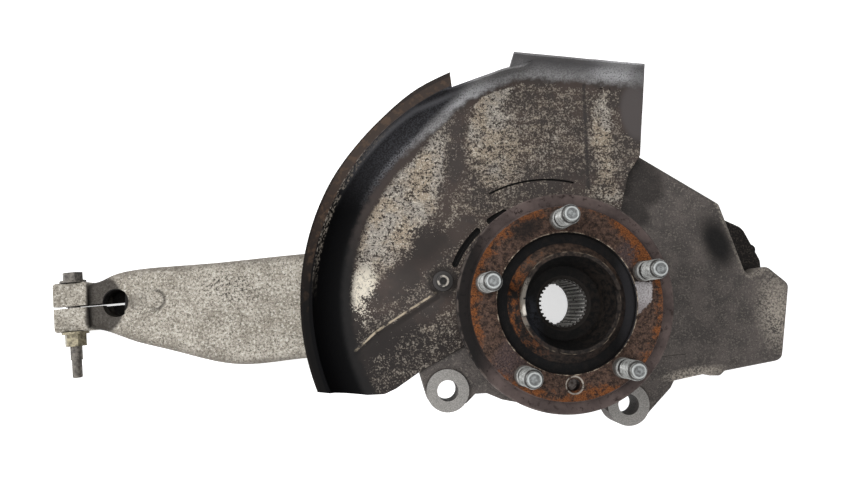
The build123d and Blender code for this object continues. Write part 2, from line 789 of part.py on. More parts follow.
with BuildPart() as knuckle:
    # bearing housing
    with BuildSketch(Plane.XY.offset(seat_z)):
        Circle(housing_r)
        with Locations(shield_screw_at):
            Circle(screw_boss_r)
    extrude(amount=-housing_depth)
    # caliper lugs, each on its web
    with BuildSketch(Plane.XY.offset(lug_face_z - 2.0)):
        for outline in lug_webs:
            Polygon(*outline, align=None)
    extrude(amount=-lug_depth + 2.0)
    with BuildSketch(Plane.XY.offset(lug_face_z)):
        with Locations(*lug_spots):
            Circle(lug_r)
    extrude(amount=-lug_depth)
    # steering arm boss
    with BuildSketch(Plane.XY.offset(web_front_z)):
        with Locations(tie_rod_at):
            Circle(tie_rod_boss_r)
    extrude(amount=-steering_boss_depth)
    add(web.part)
    add(block.part)
    add(arm.part)
    add(clamp_block.part)
    # small cast pad on the arm
    with BuildSketch(Plane.XY.offset(arm_pad_front_z)):
        with Locations(arm_pad_at):
            Circle(arm_pad_r)
    extrude(amount=-arm_pad_height * 6)
    # pockets from the inboard side
    for near_x, far_x in arm_pocket_spans:
        pocket_floor_z = edge_at(arm_front, far_x) - arm_pocket_floor
        with BuildSketch(Plane.XY.offset(pocket_floor_z)):
            Polygon(
                (near_x, edge_at(arm_upper_edge, near_x) - arm_pocket_wall),
                (far_x, edge_at(arm_upper_edge, far_x) - arm_pocket_wall),
                (far_x, edge_at(arm_lower_edge, far_x) + arm_pocket_wall),
                (near_x, edge_at(arm_lower_edge, near_x) + arm_pocket_wall),
                align=None,
            )
            fillet(vertices(), web_pocket_corner_r)
        extrude(amount=2 * clamp_back_z, mode=Mode.SUBTRACT)
    with BuildSketch(Plane.XY.offset(web_front_z - web_pocket_floor)):
        Polygon(*web_pocket_outline, align=None)
        fillet(vertices(), web_pocket_corner_r)
    extrude(amount=block_back_z, mode=Mode.SUBTRACT)
    # cast hollow beside the notch
    with BuildSketch(hollow_plane):
        Ellipse(hollow_half_length, hollow_half_width)
        Rectangle(
            2 * hollow_half_length,
            hollow_half_width,
            align=(Align.CENTER, Align.MIN),
            mode=Mode.SUBTRACT,
        )
    revolve(axis=Axis(hollow_plane.origin, hollow_plane.x_dir), mode=Mode.SUBTRACT)
    # bearing seat, drive-shaft tunnel and hub bolt holes
    with BuildSketch(Plane.XY.offset(seat_z)):
        Circle(ring_pilot_r + fit_clearance)
    extrude(amount=ring_back_z - seat_z - bolt_clearance, mode=Mode.SUBTRACT)
    with BuildSketch(Plane.XY.offset(seat_z)):
        Circle(tunnel_r)
        with PolarLocations(ring_bolt_circle_r, ring_bolt_count, start_angle=ring_bolt_phase):
            Circle(hub_bolt_r + bolt_clearance)
    extrude(amount=-2 * housing_depth, mode=Mode.SUBTRACT)
    with BuildSketch(Plane.XY.offset(head_seat_z)):
        with PolarLocations(ring_bolt_circle_r, ring_bolt_count, start_angle=ring_bolt_phase):
            Circle(hub_bolt_flange_r + bolt_clearance)
    extrude(amount=-2 * housing_depth, mode=Mode.SUBTRACT)
    # caliper, tie-rod and shield screw holes
    with BuildSketch(Plane.XY.offset(lug_face_z)):
        with Locations(*lug_spots):
            Circle(lug_hole_r)
        with Locations(tie_rod_at):
            Circle(tie_rod_bore_r)
    extrude(amount=2 * block_back_z, mode=Mode.SUBTRACT)
    with BuildSketch(Plane.XY.offset(seat_z)):
        with Locations(shield_screw_at):
            Circle(screw_r + fit_clearance)
    extrude(amount=-screw_length, mode=Mode.SUBTRACT)
    # lower ball-joint bore
    with BuildSketch(lower_plane):
        Circle(lower_bore_r)
    extrude(amount=-lower_bore_length, mode=Mode.SUBTRACT)
    # end of the block with its machined round pad
    with BuildSketch(lower_plane.offset(-lower_pad_height)):
        Rectangle(4 * housing_r, -4 * block_back_z)
    extrude(amount=housing_r, mode=Mode.SUBTRACT)
    with BuildSketch(lower_plane):
        Circle(lower_pad_r)
        Circle(lower_bore_r, mode=Mode.SUBTRACT)
    extrude(amount=-2 * lower_pad_height)
    # upper ball-joint clamp: stud bore, slit, relief and pinch bolt hole
    with BuildSketch(clamp_end_plane):
        Circle(clamp_bore_r)
    extrude(amount=-clamp_bore_length, mode=Mode.SUBTRACT)
    with BuildSketch(clamp_plane):
        with Locations((-clamp_length, 0)):
            Rectangle(clamp_length + relief_offset, slit_width, align=(Align.MIN, Align.CENTER))
    extrude(amount=-2 * clamp_depth, mode=Mode.SUBTRACT)
    with BuildSketch(clamp_plane):
        with Locations((relief_offset, 0)):
            Circle(relief_r)
    extrude(amount=-clamp_depth + relief_floor, mode=Mode.SUBTRACT)
    with BuildSketch(pinch_plane):
        Circle(pinch_r + bolt_clearance)
    extrude(amount=2 * clamp_width, both=True, mode=Mode.SUBTRACT)
    # spot faces under the bolt head and the nut
    with BuildSketch(pinch_plane):
        Circle(nut_flange_r + bolt_clearance)
    extrude(amount=clamp_width, mode=Mode.SUBTRACT)
    with BuildSketch(pinch_plane.offset(-clamp_width)):
        Circle(nut_flange_r + bolt_clearance)
    extrude(amount=-clamp_width, mode=Mode.SUBTRACT)
knuckle.part.label = "knuckle"
export_step(knuckle.part, "parts/knuckle.step")


# ---------------------------------------------------------------- pinch bolt and nut

with BuildPart() as pinch_bolt:
    with BuildSketch(pinch_plane):
        Circle(pinch_flange_r)
    extrude(amount=pinch_flange_thickness)
    with BuildSketch(pinch_plane.offset(pinch_flange_thickness)):
        RegularPolygon(pinch_flat / 2 * hex_across, 6)
    extrude(amount=pinch_head_height)
    with BuildSketch(pinch_plane):
        Circle(pinch_r)
    extrude(amount=-pinch_shank_length)
    with BuildSketch(pinch_plane.offset(-pinch_shank_length)):
        Circle(pinch_end_r)
    extrude(amount=-pinch_end_length)
    chamfer(pinch_bolt.faces().sort_by(Axis.Y)[0].edges(), edge_break)
pinch_bolt.part.label = "pinch_bolt"
export_step(pinch_bolt.part, "parts/pinch_bolt.step")

with BuildPart() as pinch_nut:
    with BuildSketch(pinch_plane.offset(-clamp_width)):
        Circle(nut_flange_r)
    extrude(amount=-nut_flange_thickness)
    with BuildSketch(pinch_plane.offset(-clamp_width - nut_flange_thickness)):
        RegularPolygon(nut_flat / 2 * hex_across, 6)
    extrude(amount=nut_flange_thickness - nut_height)
    with BuildSketch(pinch_plane.offset(-clamp_width)):
        Circle(pinch_r + fit_clearance)
    extrude(amount=-nut_height, mode=Mode.SUBTRACT)
pinch_nut.part.label = "pinch_nut"
export_step(pinch_nut.part, "parts/pinch_nut.step")
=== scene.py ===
"""Steering knuckle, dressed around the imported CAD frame: rusted hub, speckled dust shield, sand casting."""

import json
from math import cos, exp, pi, radians, sin

import bmesh
import bpy
from mathutils import Matrix, Vector, noise


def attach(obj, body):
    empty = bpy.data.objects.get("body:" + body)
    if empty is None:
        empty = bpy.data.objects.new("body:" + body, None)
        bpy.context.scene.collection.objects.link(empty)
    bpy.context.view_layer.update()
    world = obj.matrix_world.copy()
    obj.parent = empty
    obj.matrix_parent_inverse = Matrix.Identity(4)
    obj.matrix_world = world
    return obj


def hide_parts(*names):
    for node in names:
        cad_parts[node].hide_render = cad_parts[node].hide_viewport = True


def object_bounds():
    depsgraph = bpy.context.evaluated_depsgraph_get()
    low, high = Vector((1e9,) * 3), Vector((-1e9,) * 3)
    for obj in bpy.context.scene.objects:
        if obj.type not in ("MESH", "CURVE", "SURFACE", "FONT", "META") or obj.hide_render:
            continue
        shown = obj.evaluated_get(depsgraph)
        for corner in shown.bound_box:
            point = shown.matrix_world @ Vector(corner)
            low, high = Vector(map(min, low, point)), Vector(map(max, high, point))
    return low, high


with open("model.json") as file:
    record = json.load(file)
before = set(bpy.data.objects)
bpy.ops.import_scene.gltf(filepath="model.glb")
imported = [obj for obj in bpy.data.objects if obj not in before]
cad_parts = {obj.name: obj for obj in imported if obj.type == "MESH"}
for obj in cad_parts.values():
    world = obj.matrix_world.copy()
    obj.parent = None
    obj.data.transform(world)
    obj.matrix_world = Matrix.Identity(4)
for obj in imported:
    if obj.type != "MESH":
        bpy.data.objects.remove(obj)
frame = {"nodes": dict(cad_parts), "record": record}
cad_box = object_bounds()

MM = 0.001

# ---------------------------------------------------------------- places and sizes, in millimetres

# wheel hub
STUD_CIRCLE_R = 60.0
STUD_PHASE = 94.2
STUD_COUNT = 5
STUD_ANGLES = [radians(STUD_PHASE + number * 360 / STUD_COUNT) for number in range(STUD_COUNT)]
STUD_CENTRES = [(STUD_CIRCLE_R * cos(angle), STUD_CIRCLE_R * sin(angle)) for angle in STUD_ANGLES]
FLANGE_R = 79.0
FACE_R = 69.5
GROOVE_EDGE_R = 50.8
CONE_FOOT_R = 43.0
BOWL_R = 33.2
BORE_MOUTH_R = 20.1
BORE_RELIEF_R = 19.0
SCREW_HOLE_AT = (4.05, -57.9)

# casting
LUGS = [(-80.5, -66.8), (61.5, -78.5)]
LUG_R = 16.6
LUG_FACE_Z = -60.0
ARM_UPPER_EDGE = [
    (-50, 64), (-110, 50), (-197.5, 44.3), (-278, 37.1), (-324, 34.2), (-355, 30.7), (-378, 22.2),
]
ARM_LOWER_EDGE = [
    (-50, -62), (-110, -48), (-197.5, -44.8), (-252, -50), (-314.8, -37.7), (-348.6, -29.6), (-373, -21.4),
]
BLIND_HOLE_AT = (-362.5, 3.6)
BLIND_HOLE_R = 11.5

# dust shield
PANEL_Z = -60.0
SEAT_Z = -61.5
SHIELD_CENTER = (-3.2, 5.0)
SHIELD_SCREW_AT = (-84.2, 18.0)
ROLL_START_R = 159.0
ROLL_WIDTH = 22.0
LEAN_TURN, LEAN_START = (-0.4226, 0.9063), 162.1795
TAB_TURN, TAB_START = (0.0698, 0.9976), 168.3

# ---------------------------------------------------------------- camera position

FOCAL_PX = 800.0
IMAGE_WIDTH = 841
IMAGE_CENTRE = (420.5, 239.0)
HUB_AXIS_VANISHES_AT = (374.0, 314.0)
CAMERA_AT = (-137.73, -7.43, 564.93)
SENSOR_WIDTH = 36.0

# ---------------------------------------------------------------- materials


def srgb(red, green, blue):
    """A colour written as 0-255 screen values, as the linear colour that a shader takes."""
    def linear(value):
        value /= 255
        return value / 12.92 if value <= 0.04045 else ((value + 0.055) / 1.055) ** 2.4
    return (linear(red), linear(green), linear(blue), 1.0)


class Finish:
    """A procedural material, with lengths in millimetres.

    Its methods add nodes and return their output sockets.
    """

    def __init__(self, name, roughness=0.6, metallic=0.0):
        self.material = bpy.data.materials.new(name)
        self.material.use_nodes = True
        self.tree = self.material.node_tree
        self.shader = self.tree.nodes["Principled BSDF"]
        self.shader.inputs["Roughness"].default_value = roughness
        self.shader.inputs["Metallic"].default_value = metallic
        coordinates = self.node("ShaderNodeTexCoord").outputs["Object"]
        scaled = self.node("ShaderNodeVectorMath", {0: coordinates, 3: 1 / MM}, operation="SCALE")
        self.place = scaled.outputs["Vector"]
        split = self.node("ShaderNodeSeparateXYZ", {0: self.place})
        self.x, self.y, self.z = split.outputs

    def node(self, kind, inputs=None, **settings):
        node = self.tree.nodes.new(kind)
        for name, value in settings.items():
            setattr(node, name, value)
        for name, value in (inputs or {}).items():
            if isinstance(value, bpy.types.NodeSocket):
                self.tree.links.new(value, node.inputs[name])
            else:
                node.inputs[name].default_value = value
        return node

    def math(self, operation, *values):
        return self.node("ShaderNodeMath", dict(enumerate(values)), operation=operation).outputs[0]

    def add(self, *values):
        total = values[0]
        for value in values[1:]:
            total = self.math("ADD", total, value)
        return total

    def times(self, a, b):
        return self.math("MULTIPLY", a, b)

    def least(self, a, b):
        return self.math("MINIMUM", a, b)

    def most(self, a, b):
        return self.math("MAXIMUM", a, b)

    def noise(self, size, detail=3.0, roughness=0.6, stretch=(1, 1, 1), shift=0.0):
        """Noise from 0 to 1 with blotches of this size, longer along an axis where stretch is over 1."""
        scale = tuple(1 / (size * s) for s in stretch)
        moved = self.node("ShaderNodeMapping", {0: self.place, 1: (shift, shift, shift), 3: scale})
        texture = {"Vector": moved.outputs[0], "Scale": 1.0, "Detail": detail, "Roughness": roughness}
        return self.node("ShaderNodeTexNoise", texture).outputs[0]

    def step(self, value, low, high):
        """0 at low and under, 1 at high and over, smooth between. low may be over high."""
        rising = {"Value": value, "From Min": min(low, high), "From Max": max(low, high)}
        if low > high:
            rising.update({"To Min": 1.0, "To Max": 0.0})
        return self.node("ShaderNodeMapRange", rising, interpolation_type="SMOOTHSTEP").outputs[0]

    def band(self, value, low, high, soft):
        """1 between low and high, fading over soft on each side."""
        above = self.step(value, low - soft, low + soft)
        below = self.step(value, high + soft, high - soft)
        return self.least(above, below)

    def radius(self, x=0.0, y=0.0):
        """Distance from an axis that runs along Z through (x, y)."""
        across = self.node("ShaderNodeCombineXYZ", {0: self.add(self.x, -x), 1: self.add(self.y, -y)})
        return self.node("ShaderNodeVectorMath", {0: across.outputs[0]}, operation="LENGTH").outputs["Value"]

    def patch(self, x, y, length, width, turn=0.0, soft=0.5):
        """An oval stain: 1 at its middle, 0 from its edge outwards. length and width are its half axes."""
        c, s = cos(radians(turn)), sin(radians(turn))
        along = self.add(
            self.times(self.x, c / length), self.times(self.y, s / length), -(x * c + y * s) / length,
        )
        across = self.add(
            self.times(self.x, -s / width), self.times(self.y, c / width), (x * s - y * c) / width,
        )
        far = self.math("SQRT", self.add(self.times(along, along), self.times(across, across)))
        return self.step(far, 1.0, 1.0 - soft)

    def line(self, start, end):
        """Distance, seen along Z, from the straight line between two points."""
        length = ((end[0] - start[0]) ** 2 + (end[1] - start[1]) ** 2) ** 0.5
        c, s = (end[0] - start[0]) / length, (end[1] - start[1]) / length
        along = self.add(self.times(self.x, c), self.times(self.y, s), -(start[0] * c + start[1] * s))
        along = self.least(self.most(along, 0.0), length)
        off_x = self.add(self.x, self.times(along, -c), -start[0])
        off_y = self.add(self.y, self.times(along, -s), -start[1])
        return self.math("SQRT", self.add(self.times(off_x, off_x), self.times(off_y, off_y)))

    def path(self, *points):
        """Distance, seen along Z, from a line through several points."""
        nearest = self.line(points[0], points[1])
        for start, end in zip(points[1:], points[2:]):
            nearest = self.least(nearest, self.line(start, end))
        return nearest

    def shade_in_hollows(self, colour, reach, floor, dark=(0.004, 0.0035, 0.003, 1.0)):
        """The colour, darkened with painted shade where walls within reach close it in, and all dark at the
        openness floor.
        """
        open_sky = self.node("ShaderNodeAmbientOcclusion", {"Distance": reach * MM}, samples=8).outputs["AO"]
        return self.mix(self.step(open_sky, floor, 0.92), dark, colour)

    def mix(self, factor, a, b):
        node = self.node("ShaderNodeMix", {"Factor": factor}, data_type="RGBA")
        for socket, value in ((node.inputs[6], a), (node.inputs[7], b)):
            if isinstance(value, bpy.types.NodeSocket):
                self.tree.links.new(value, socket)
            else:
                socket.default_value = value
        return node.outputs[2]

    def colour(self, value):
        self.feed("Base Color", value)

    def feed(self, name, value):
        if isinstance(value, bpy.types.NodeSocket):
            self.tree.links.new(value, self.shader.inputs[name])
        else:
            self.shader.inputs[name].default_value = value

    def between(self, factor, low, high):
        """A number that goes from low to high with the factor."""
        return self.add(self.times(factor, high - low), low)

    def bump(self, height, depth):
        """Relief in millimetres: height is 0 to 1, and depth is how far 1 stands out."""
        relief = self.node("ShaderNodeBump", {"Height": height, "Distance": depth * MM, "Strength": 1.0})
        self.tree.links.new(relief.outputs[0], self.shader.inputs["Normal"])


def shield_finish():
    """Dark worn coating with pale corrosion speckle that lies in drifts, and a clean rolled rim, with painted
    light and shade on the rim and round the pressed bead and step.
    """
    f = Finish("shield_worn_coating", roughness=0.62)
    fine = f.noise(1.5, detail=2.5, roughness=0.75, shift=3.0)
    clump = f.noise(5.5, detail=3, roughness=0.6, shift=6.0)
    broad = f.noise(24, detail=3, roughness=0.6, shift=1.0)
    streak = f.noise(3.0, detail=3, stretch=(7.0, 1.0, 1.0), shift=7.0)
    wander = f.times(f.add(broad, -0.5), 26)

    # distance outwards from the line where the flat panel turns up into the roll
    round_part = f.add(f.radius(*SHIELD_CENTER), -ROLL_START_R, f.times(f.step(f.x, -72, -66), -200))
    lean = f.add(f.times(f.x, LEAN_TURN[0]), f.times(f.y, LEAN_TURN[1]), -LEAN_START)
    tab = f.add(f.times(f.x, TAB_TURN[0]), f.times(f.y, TAB_TURN[1]), -TAB_START)
    outward = f.most(round_part, f.most(lean, tab))

    # how much of the surface the speckle covers
    cover = f.add(0.37, f.times(f.add(streak, -0.5), 0.45), f.times(f.add(broad, -0.5), 0.35))
    clean_corner = f.patch(74, 155, 16, 28, turn=4, soft=0.35)
    drifts = [
        (0.34, f.patch(-118, 86, 94, 50, turn=58, soft=0.6)),
        (0.10, f.patch(-72, 60, 40, 34, turn=50, soft=0.8)),
        (0.29, f.patch(-46, 134, 66, 28, turn=104, soft=0.6)),
        (0.22, f.patch(46, 122, 56, 16, turn=92, soft=0.8)),
        (0.40, f.patch(-147, 6, 30, 17, turn=80, soft=0.6)),
        (0.03, f.patch(-100, -20, 50, 24, turn=22, soft=0.8)),
        (0.34, f.patch(-40, 168, 26, 11, turn=28, soft=0.7)),
        (0.16, f.patch(46, 152, 11, 34, turn=0, soft=0.8)),
        (0.16, f.patch(52, 86, 24, 12, turn=-20, soft=0.8)),
        (0.10, f.patch(0, 135, 40, 50, turn=0, soft=0.7)),
        (-0.12, f.patch(-106, 42, 34, 18, turn=40, soft=0.8)),
        (-0.70, clean_corner),
        (-0.16, f.patch(16, 98, 34, 12, turn=8, soft=0.7)),
    ]
    for amount, drift in drifts:
        cover = f.add(cover, f.times(drift, amount))
    smooth_band = f.path((-58, 178), (-70, 140), (-75, 104), (-84, 70), (-100, 50))
    smooth_band = f.add(smooth_band, f.times(wander, 0.35))
    cover = f.add(cover, f.times(f.step(smooth_band, 12, 2), -0.33))
    second_band = f.add(f.path((-156, -14), (-138, 4), (-94, 38), (-66, 62)), f.times(wander, 0.3))
    cover = f.add(cover, f.times(f.step(second_band, 13, 2), -0.44))
    under_crease = f.path((-84, 4), (-130, -27), (-160, -52))
    cover = f.add(cover, f.times(f.step(under_crease, 11, 3), -0.3))
    over_tab = f.times(f.step(f.x, -105, -66), 15.0)
    near_roll = f.add(outward, f.times(wander, 0.3), f.times(over_tab, -1))
    cover = f.add(cover, f.times(f.step(near_roll, -9, -1), -0.9))
    cover = f.least(cover, 0.74)

    level = f.add(f.times(fine, 1.0), f.times(clump, 0.55), f.times(cover, 0.5))
    specks = f.step(level, 0.975, 1.045)
    bright = f.patch(-147, 6, 30, 16, turn=80, soft=0.6)
    low = f.mix(f.noise(14, shift=11.0), srgb(50, 45, 43), srgb(68, 62, 59))
    low = f.mix(f.step(broad, 0.45, 0.62), low, srgb(70, 61, 57))
    low = f.mix(f.times(f.step(f.y, 4, -30), 0.85), low, srgb(30, 26, 25))
    low = f.mix(f.times(f.patch(-100, 44, 40, 24, turn=40, soft=0.8), 0.8), low, srgb(42, 37, 35))
    low = f.mix(clean_corner, low, srgb(80, 75, 74))
    strong = f.step(cover, 0.36, 0.72)
    dull = f.mix(f.noise(9, shift=15.0), srgb(104, 96, 90), srgb(120, 110, 98))
    dull = f.mix(f.times(f.step(f.y, 4, -30), 0.7), dull, srgb(84, 78, 73))
    tan = f.mix(f.step(f.noise(22, shift=5.0), 0.4, 0.6), srgb(152, 146, 138), srgb(154, 141, 124))
    pale = f.mix(strong, dull, tan)
    pale = f.mix(bright, pale, srgb(226, 218, 202))
    brightest = f.step(f.add(fine, f.times(clump, 0.4)), 0.74, 0.84)
    pale = f.mix(f.times(brightest, f.between(strong, 0.2, 0.9)), pale, srgb(206, 198, 184))
    pits = f.step(f.noise(2.1, detail=2, roughness=0.7, shift=19.0), 0.535, 0.61)
    pits = f.times(pits, f.between(bright, 1.0, 0.35))
    pale = f.mix(pits, pale, srgb(56, 50, 47))
    panel = f.mix(specks, low, pale)

    # painted highlight along the pressed bead, patchy, and painted shade at its foot
    foot = f.path((-88, 5.5), (-134, -25.0), (-160, -48.0))
    panel = f.mix(f.times(f.step(foot, 2.6, 0.8), 0.8), panel, srgb(38, 34, 32))
    crease = f.add(f.path((-89.5, 9.0), (-135.8, -20.8), (-162, -45.5)), f.times(f.add(clump, -0.5), 1.6))
    bead_highlight = f.times(f.step(crease, 1.1, 0.5), f.step(f.noise(7, detail=3, shift=14.0), 0.40, 0.56))
    panel = f.mix(f.times(bead_highlight, 0.85), panel, srgb(186, 172, 150))
    # painted shade in the corner beside the pressed step
    upright = f.path((31.0, 176), (33.0, 92))
    panel = f.mix(f.times(f.step(upright, 2.2, 0.4), 0.8), panel, srgb(38, 34, 33))
    boss_ring = f.radius(*SHIELD_SCREW_AT)
    panel = f.mix(f.times(f.step(boss_ring, 13.0, 10.5), 0.8), panel, srgb(48, 44, 42))

    # rolled rim, with painted light and shade: black painted shade at the left, charcoal above, blue-grey
    # painted light along the top, painted highlights along its edges
    haze = f.noise(1.2, detail=3, shift=21.0)
    top_painted_light = f.mix(f.step(haze, 0.36, 0.64), srgb(112, 111, 112), srgb(150, 149, 149))
    top_painted_light = f.mix(f.step(outward, 14, 26), top_painted_light, srgb(104, 103, 105))
    top_painted_light = f.mix(f.times(f.step(broad, 0.5, 0.66), 0.35), top_painted_light, srgb(88, 86, 87))
    # painted highlight patches on the top of the roll
    top_highlight_patches = f.most(f.patch(-66, 165, 36, 8, turn=27, soft=0.7), f.patch(58, 184, 32, 7, turn=-3, soft=0.7))
    top_painted_light = f.mix(f.times(top_highlight_patches, f.step(haze, 0.30, 0.55)), top_painted_light, srgb(176, 176, 178))
    charcoal = f.mix(f.step(haze, 0.40, 0.62), srgb(32, 31, 33), srgb(58, 58, 62))
    shine = f.band(outward, -1, 4, 2.5)
    charcoal = f.mix(f.times(shine, f.step(haze, 0.36, 0.6)), charcoal, srgb(118, 118, 122))
    edge_shine = f.band(outward, 18.5, 21.5, 1.5)
    charcoal = f.mix(f.times(edge_shine, 0.55), charcoal, srgb(112, 112, 116))
    channel = f.mix(f.step(f.add(f.y, wander), 66, 132), srgb(6, 6, 7), charcoal)
    over_top = f.step(f.add(f.x, f.times(outward, -2.2), f.times(wander, 0.5)), -122, -98)
    channel = f.mix(over_top, channel, top_painted_light)
    tab_end = f.step(f.x, 60, 72)
    channel = f.mix(f.times(tab_end, 0.5), channel, srgb(70, 68, 68))
    edge = f.add(outward, f.times(f.add(clump, -0.5), 9), f.times(f.step(f.x, -95, -62), -12.0))
    beside_roll = f.times(f.step(edge, -11, -4), f.step(f.x, -80, -110))
    smooth = f.mix(beside_roll, panel, f.mix(f.step(f.y, 20, 90), srgb(20, 18, 18), srgb(62, 54, 51)))
    colour = f.mix(f.step(edge, -3, 3), smooth, channel)

    # flat lip outside the roll, brown, with a scuffed inner edge
    lip = f.mix(f.step(f.y, -10, 110), srgb(16, 15, 15), srgb(55, 46, 41))
    rust = f.times(f.step(f.noise(6, detail=3, shift=8.0), 0.48, 0.66), f.step(f.y, -40, 90))
    lip = f.mix(f.times(rust, 0.6), lip, srgb(84, 67, 54))
    lip = f.mix(f.times(f.step(round_part, 28.6, 29.6), 0.7), lip, srgb(26, 23, 22))
    lip_start = f.add(round_part, f.times(f.step(f.y, 100, -20), -2.6))
    on_lip = f.times(f.step(lip_start, ROLL_WIDTH - 0.4, ROLL_WIDTH + 0.6), f.step(f.z, -45.5, -44.5))
    colour = f.mix(on_lip, colour, lip)
    scuffed = f.step(f.noise(2.4, detail=3, shift=4.0), 0.47, 0.6)
    scuffs = f.times(f.band(round_part, ROLL_WIDTH - 2.5, ROLL_WIDTH + 0.4, 0.6), scuffed)
    colour = f.mix(f.times(scuffs, f.band(f.y, 30, 120, 30)), colour, srgb(150, 142, 132))
    # painted shade where the sheet is closed in
    f.colour(f.shade_in_hollows(colour, 9, 0.25))
    f.feed("Roughness", f.between(specks, 0.48, 0.78))
    shaded = f.times(f.step(outward, -2, 4), f.step(f.y, 120, 70))
    f.feed("Specular IOR Level", f.between(shaded, 0.13, 0.04))
    f.bump(f.add(f.times(specks, 0.6), f.times(fine, 0.4), f.times(clump, 0.4)), 0.12)
    return f.material


def casting_finish():
    """Sand-cast aluminium: pale and warm on the arm, dark and grimy on the body with painted shade in its
    hollows, recesses and under the shield, bare on machined lugs.
    """
    f = Finish("sand_cast_aluminium", roughness=0.62, metallic=0.0)
    grain = f.noise(1.5, detail=3, roughness=0.75)
    sand = f.noise(0.8, detail=1.5, roughness=0.6, shift=13.0)
    blotch = f.noise(16, detail=4, shift=4.0)
    arm = f.step(f.add(f.x, f.times(blotch, 30)), -80, -120)

    arm_colour = f.mix(f.step(blotch, 0.34, 0.66), srgb(150, 144, 133), srgb(174, 168, 157))
    clouded = f.step(f.noise(34, detail=3, shift=17.0), 0.5, 0.72)
    arm_colour = f.mix(f.times(clouded, 0.6), arm_colour, srgb(140, 133, 121))
    arm_colour = f.mix(f.step(grain, 0.60, 0.72), arm_colour, srgb(198, 193, 183))
    dark_grain = f.step(f.add(grain, f.times(blotch, 0.3)), 0.58, 0.50)
    arm_colour = f.mix(dark_grain, arm_colour, srgb(118, 112, 102))
    arm_colour = f.mix(f.step(f.noise(1.3, detail=1, shift=31.0), 0.40, 0.33), arm_colour, srgb(82, 77, 70))
    flecks = f.noise(2.0, detail=3, roughness=0.7, shift=27.0)
    arm_colour = f.mix(f.times(f.step(flecks, 0.48, 0.38), 0.9), arm_colour, srgb(106, 100, 91))
    arm_colour = f.mix(f.times(f.step(flecks, 0.55, 0.65), 0.85), arm_colour, srgb(206, 202, 193))
    sooty = f.times(f.patch(-262, 16, 34, 16, turn=-10, soft=0.7), f.step(flecks, 0.47, 0.40))
    arm_colour = f.mix(sooty, arm_colour, srgb(60, 56, 52))
    # dirt and painted shade along the arm's upper and lower edges
    edge = f.least(f.path(*ARM_UPPER_EDGE), f.path(*ARM_LOWER_EDGE))
    rim = f.step(f.add(edge, f.times(blotch, 8)), 13, 3)
    arm_colour = f.mix(f.times(rim, 0.55), arm_colour, srgb(96, 90, 83))
    ghost = f.radius(-341.3, 4.0)
    arm_colour = f.mix(f.times(f.band(ghost, 6.4, 7.6, 0.5), 0.4), arm_colour, srgb(88, 82, 76))
    pad_foot = f.times(f.band(f.radius(-327.8, 5.2), 7.5, 10.0, 1.4), f.step(f.x, -333, -322))
    arm_colour = f.mix(f.times(pad_foot, 0.8), arm_colour, srgb(70, 65, 60))
    # painted shade on the sunken neck between the clamp and the arm
    neck_shade = f.add(f.patch(-374, 1, 23, 30, turn=5, soft=0.4), f.times(f.add(blotch, -0.5), 0.5))
    neck_shade = f.times(f.step(neck_shade, 0.12, 0.75), f.step(f.x, -389, -386))
    arm_colour = f.mix(f.times(neck_shade, 0.9), arm_colour, srgb(46, 42, 39))
    arm_colour = f.mix(f.times(f.patch(-352, 3, 22, 9, turn=5, soft=0.9), 0.6), arm_colour, srgb(84, 78, 72))
    # painted shade: the blind hole near black
    blind_hole_shade = f.step(f.radius(*BLIND_HOLE_AT), BLIND_HOLE_R + 0.4, BLIND_HOLE_R - 0.4)
    arm_colour = f.mix(blind_hole_shade, arm_colour, srgb(15, 13, 12))

    body = f.mix(f.step(blotch, 0.34, 0.66), srgb(72, 68, 66), srgb(92, 86, 83))
    body = f.mix(f.step(grain, 0.52, 0.64), body, srgb(112, 106, 100))
    body = f.mix(f.step(sand, 0.40, 0.30), body, srgb(48, 45, 43))
    pale = f.mix(f.step(grain, 0.42, 0.60), srgb(118, 111, 104), srgb(168, 160, 149))
    block_wear = f.times(f.patch(186, -6, 46, 24, turn=94, soft=0.9), 0.95)
    worn = f.most(block_wear, f.patch(116, -55, 34, 6.5, turn=8, soft=0.6))
    worn = f.most(worn, f.times(f.step(f.line((139.8, 81.7), (160.6, 27)), 4.0, 1.2), 0.75))
    worn = f.most(worn, f.times(f.step(f.line((164, 24), (178, 29)), 5.0, 1.5), 0.6))
    body = f.mix(f.times(worn, f.step(f.add(grain, f.times(blotch, 0.4)), 0.56, 0.70)), body, pale)
    # painted shade in the dimple of the body
    hollow_shade = f.patch(138.5, 49, 33, 18, turn=111, soft=0.75)
    body = f.mix(f.times(hollow_shade, f.between(grain, 0.8, 1.15)), body, srgb(13, 12, 12))
    shadowed = f.patch(76, 98, 26, 22, turn=-40, soft=0.35)
    shadowed = f.most(shadowed, f.patch(72, 74, 18, 13, turn=-50, soft=0.5))
    body = f.mix(f.times(shadowed, 0.7), body, srgb(36, 33, 32))
    # painted shade on the body under the shield, near black
    shade_under_shield = f.times(f.step(f.x, 34, 30), f.times(f.step(f.radius(), 118, 112), f.step(f.y, 8, 14)))
    body = f.mix(shade_under_shield, body, srgb(7, 6, 6))
    # painted shade, with grain, on the rear body set back behind the front plate
    rear_shade = f.mix(f.step(grain, 0.5, 0.64), srgb(24, 21, 20), srgb(66, 60, 55))
    body = f.mix(f.step(f.add(f.z, f.times(f.add(blotch, -0.5), 10)), -83, -93), body, rear_shade)
    colour = f.mix(arm, body, arm_colour)

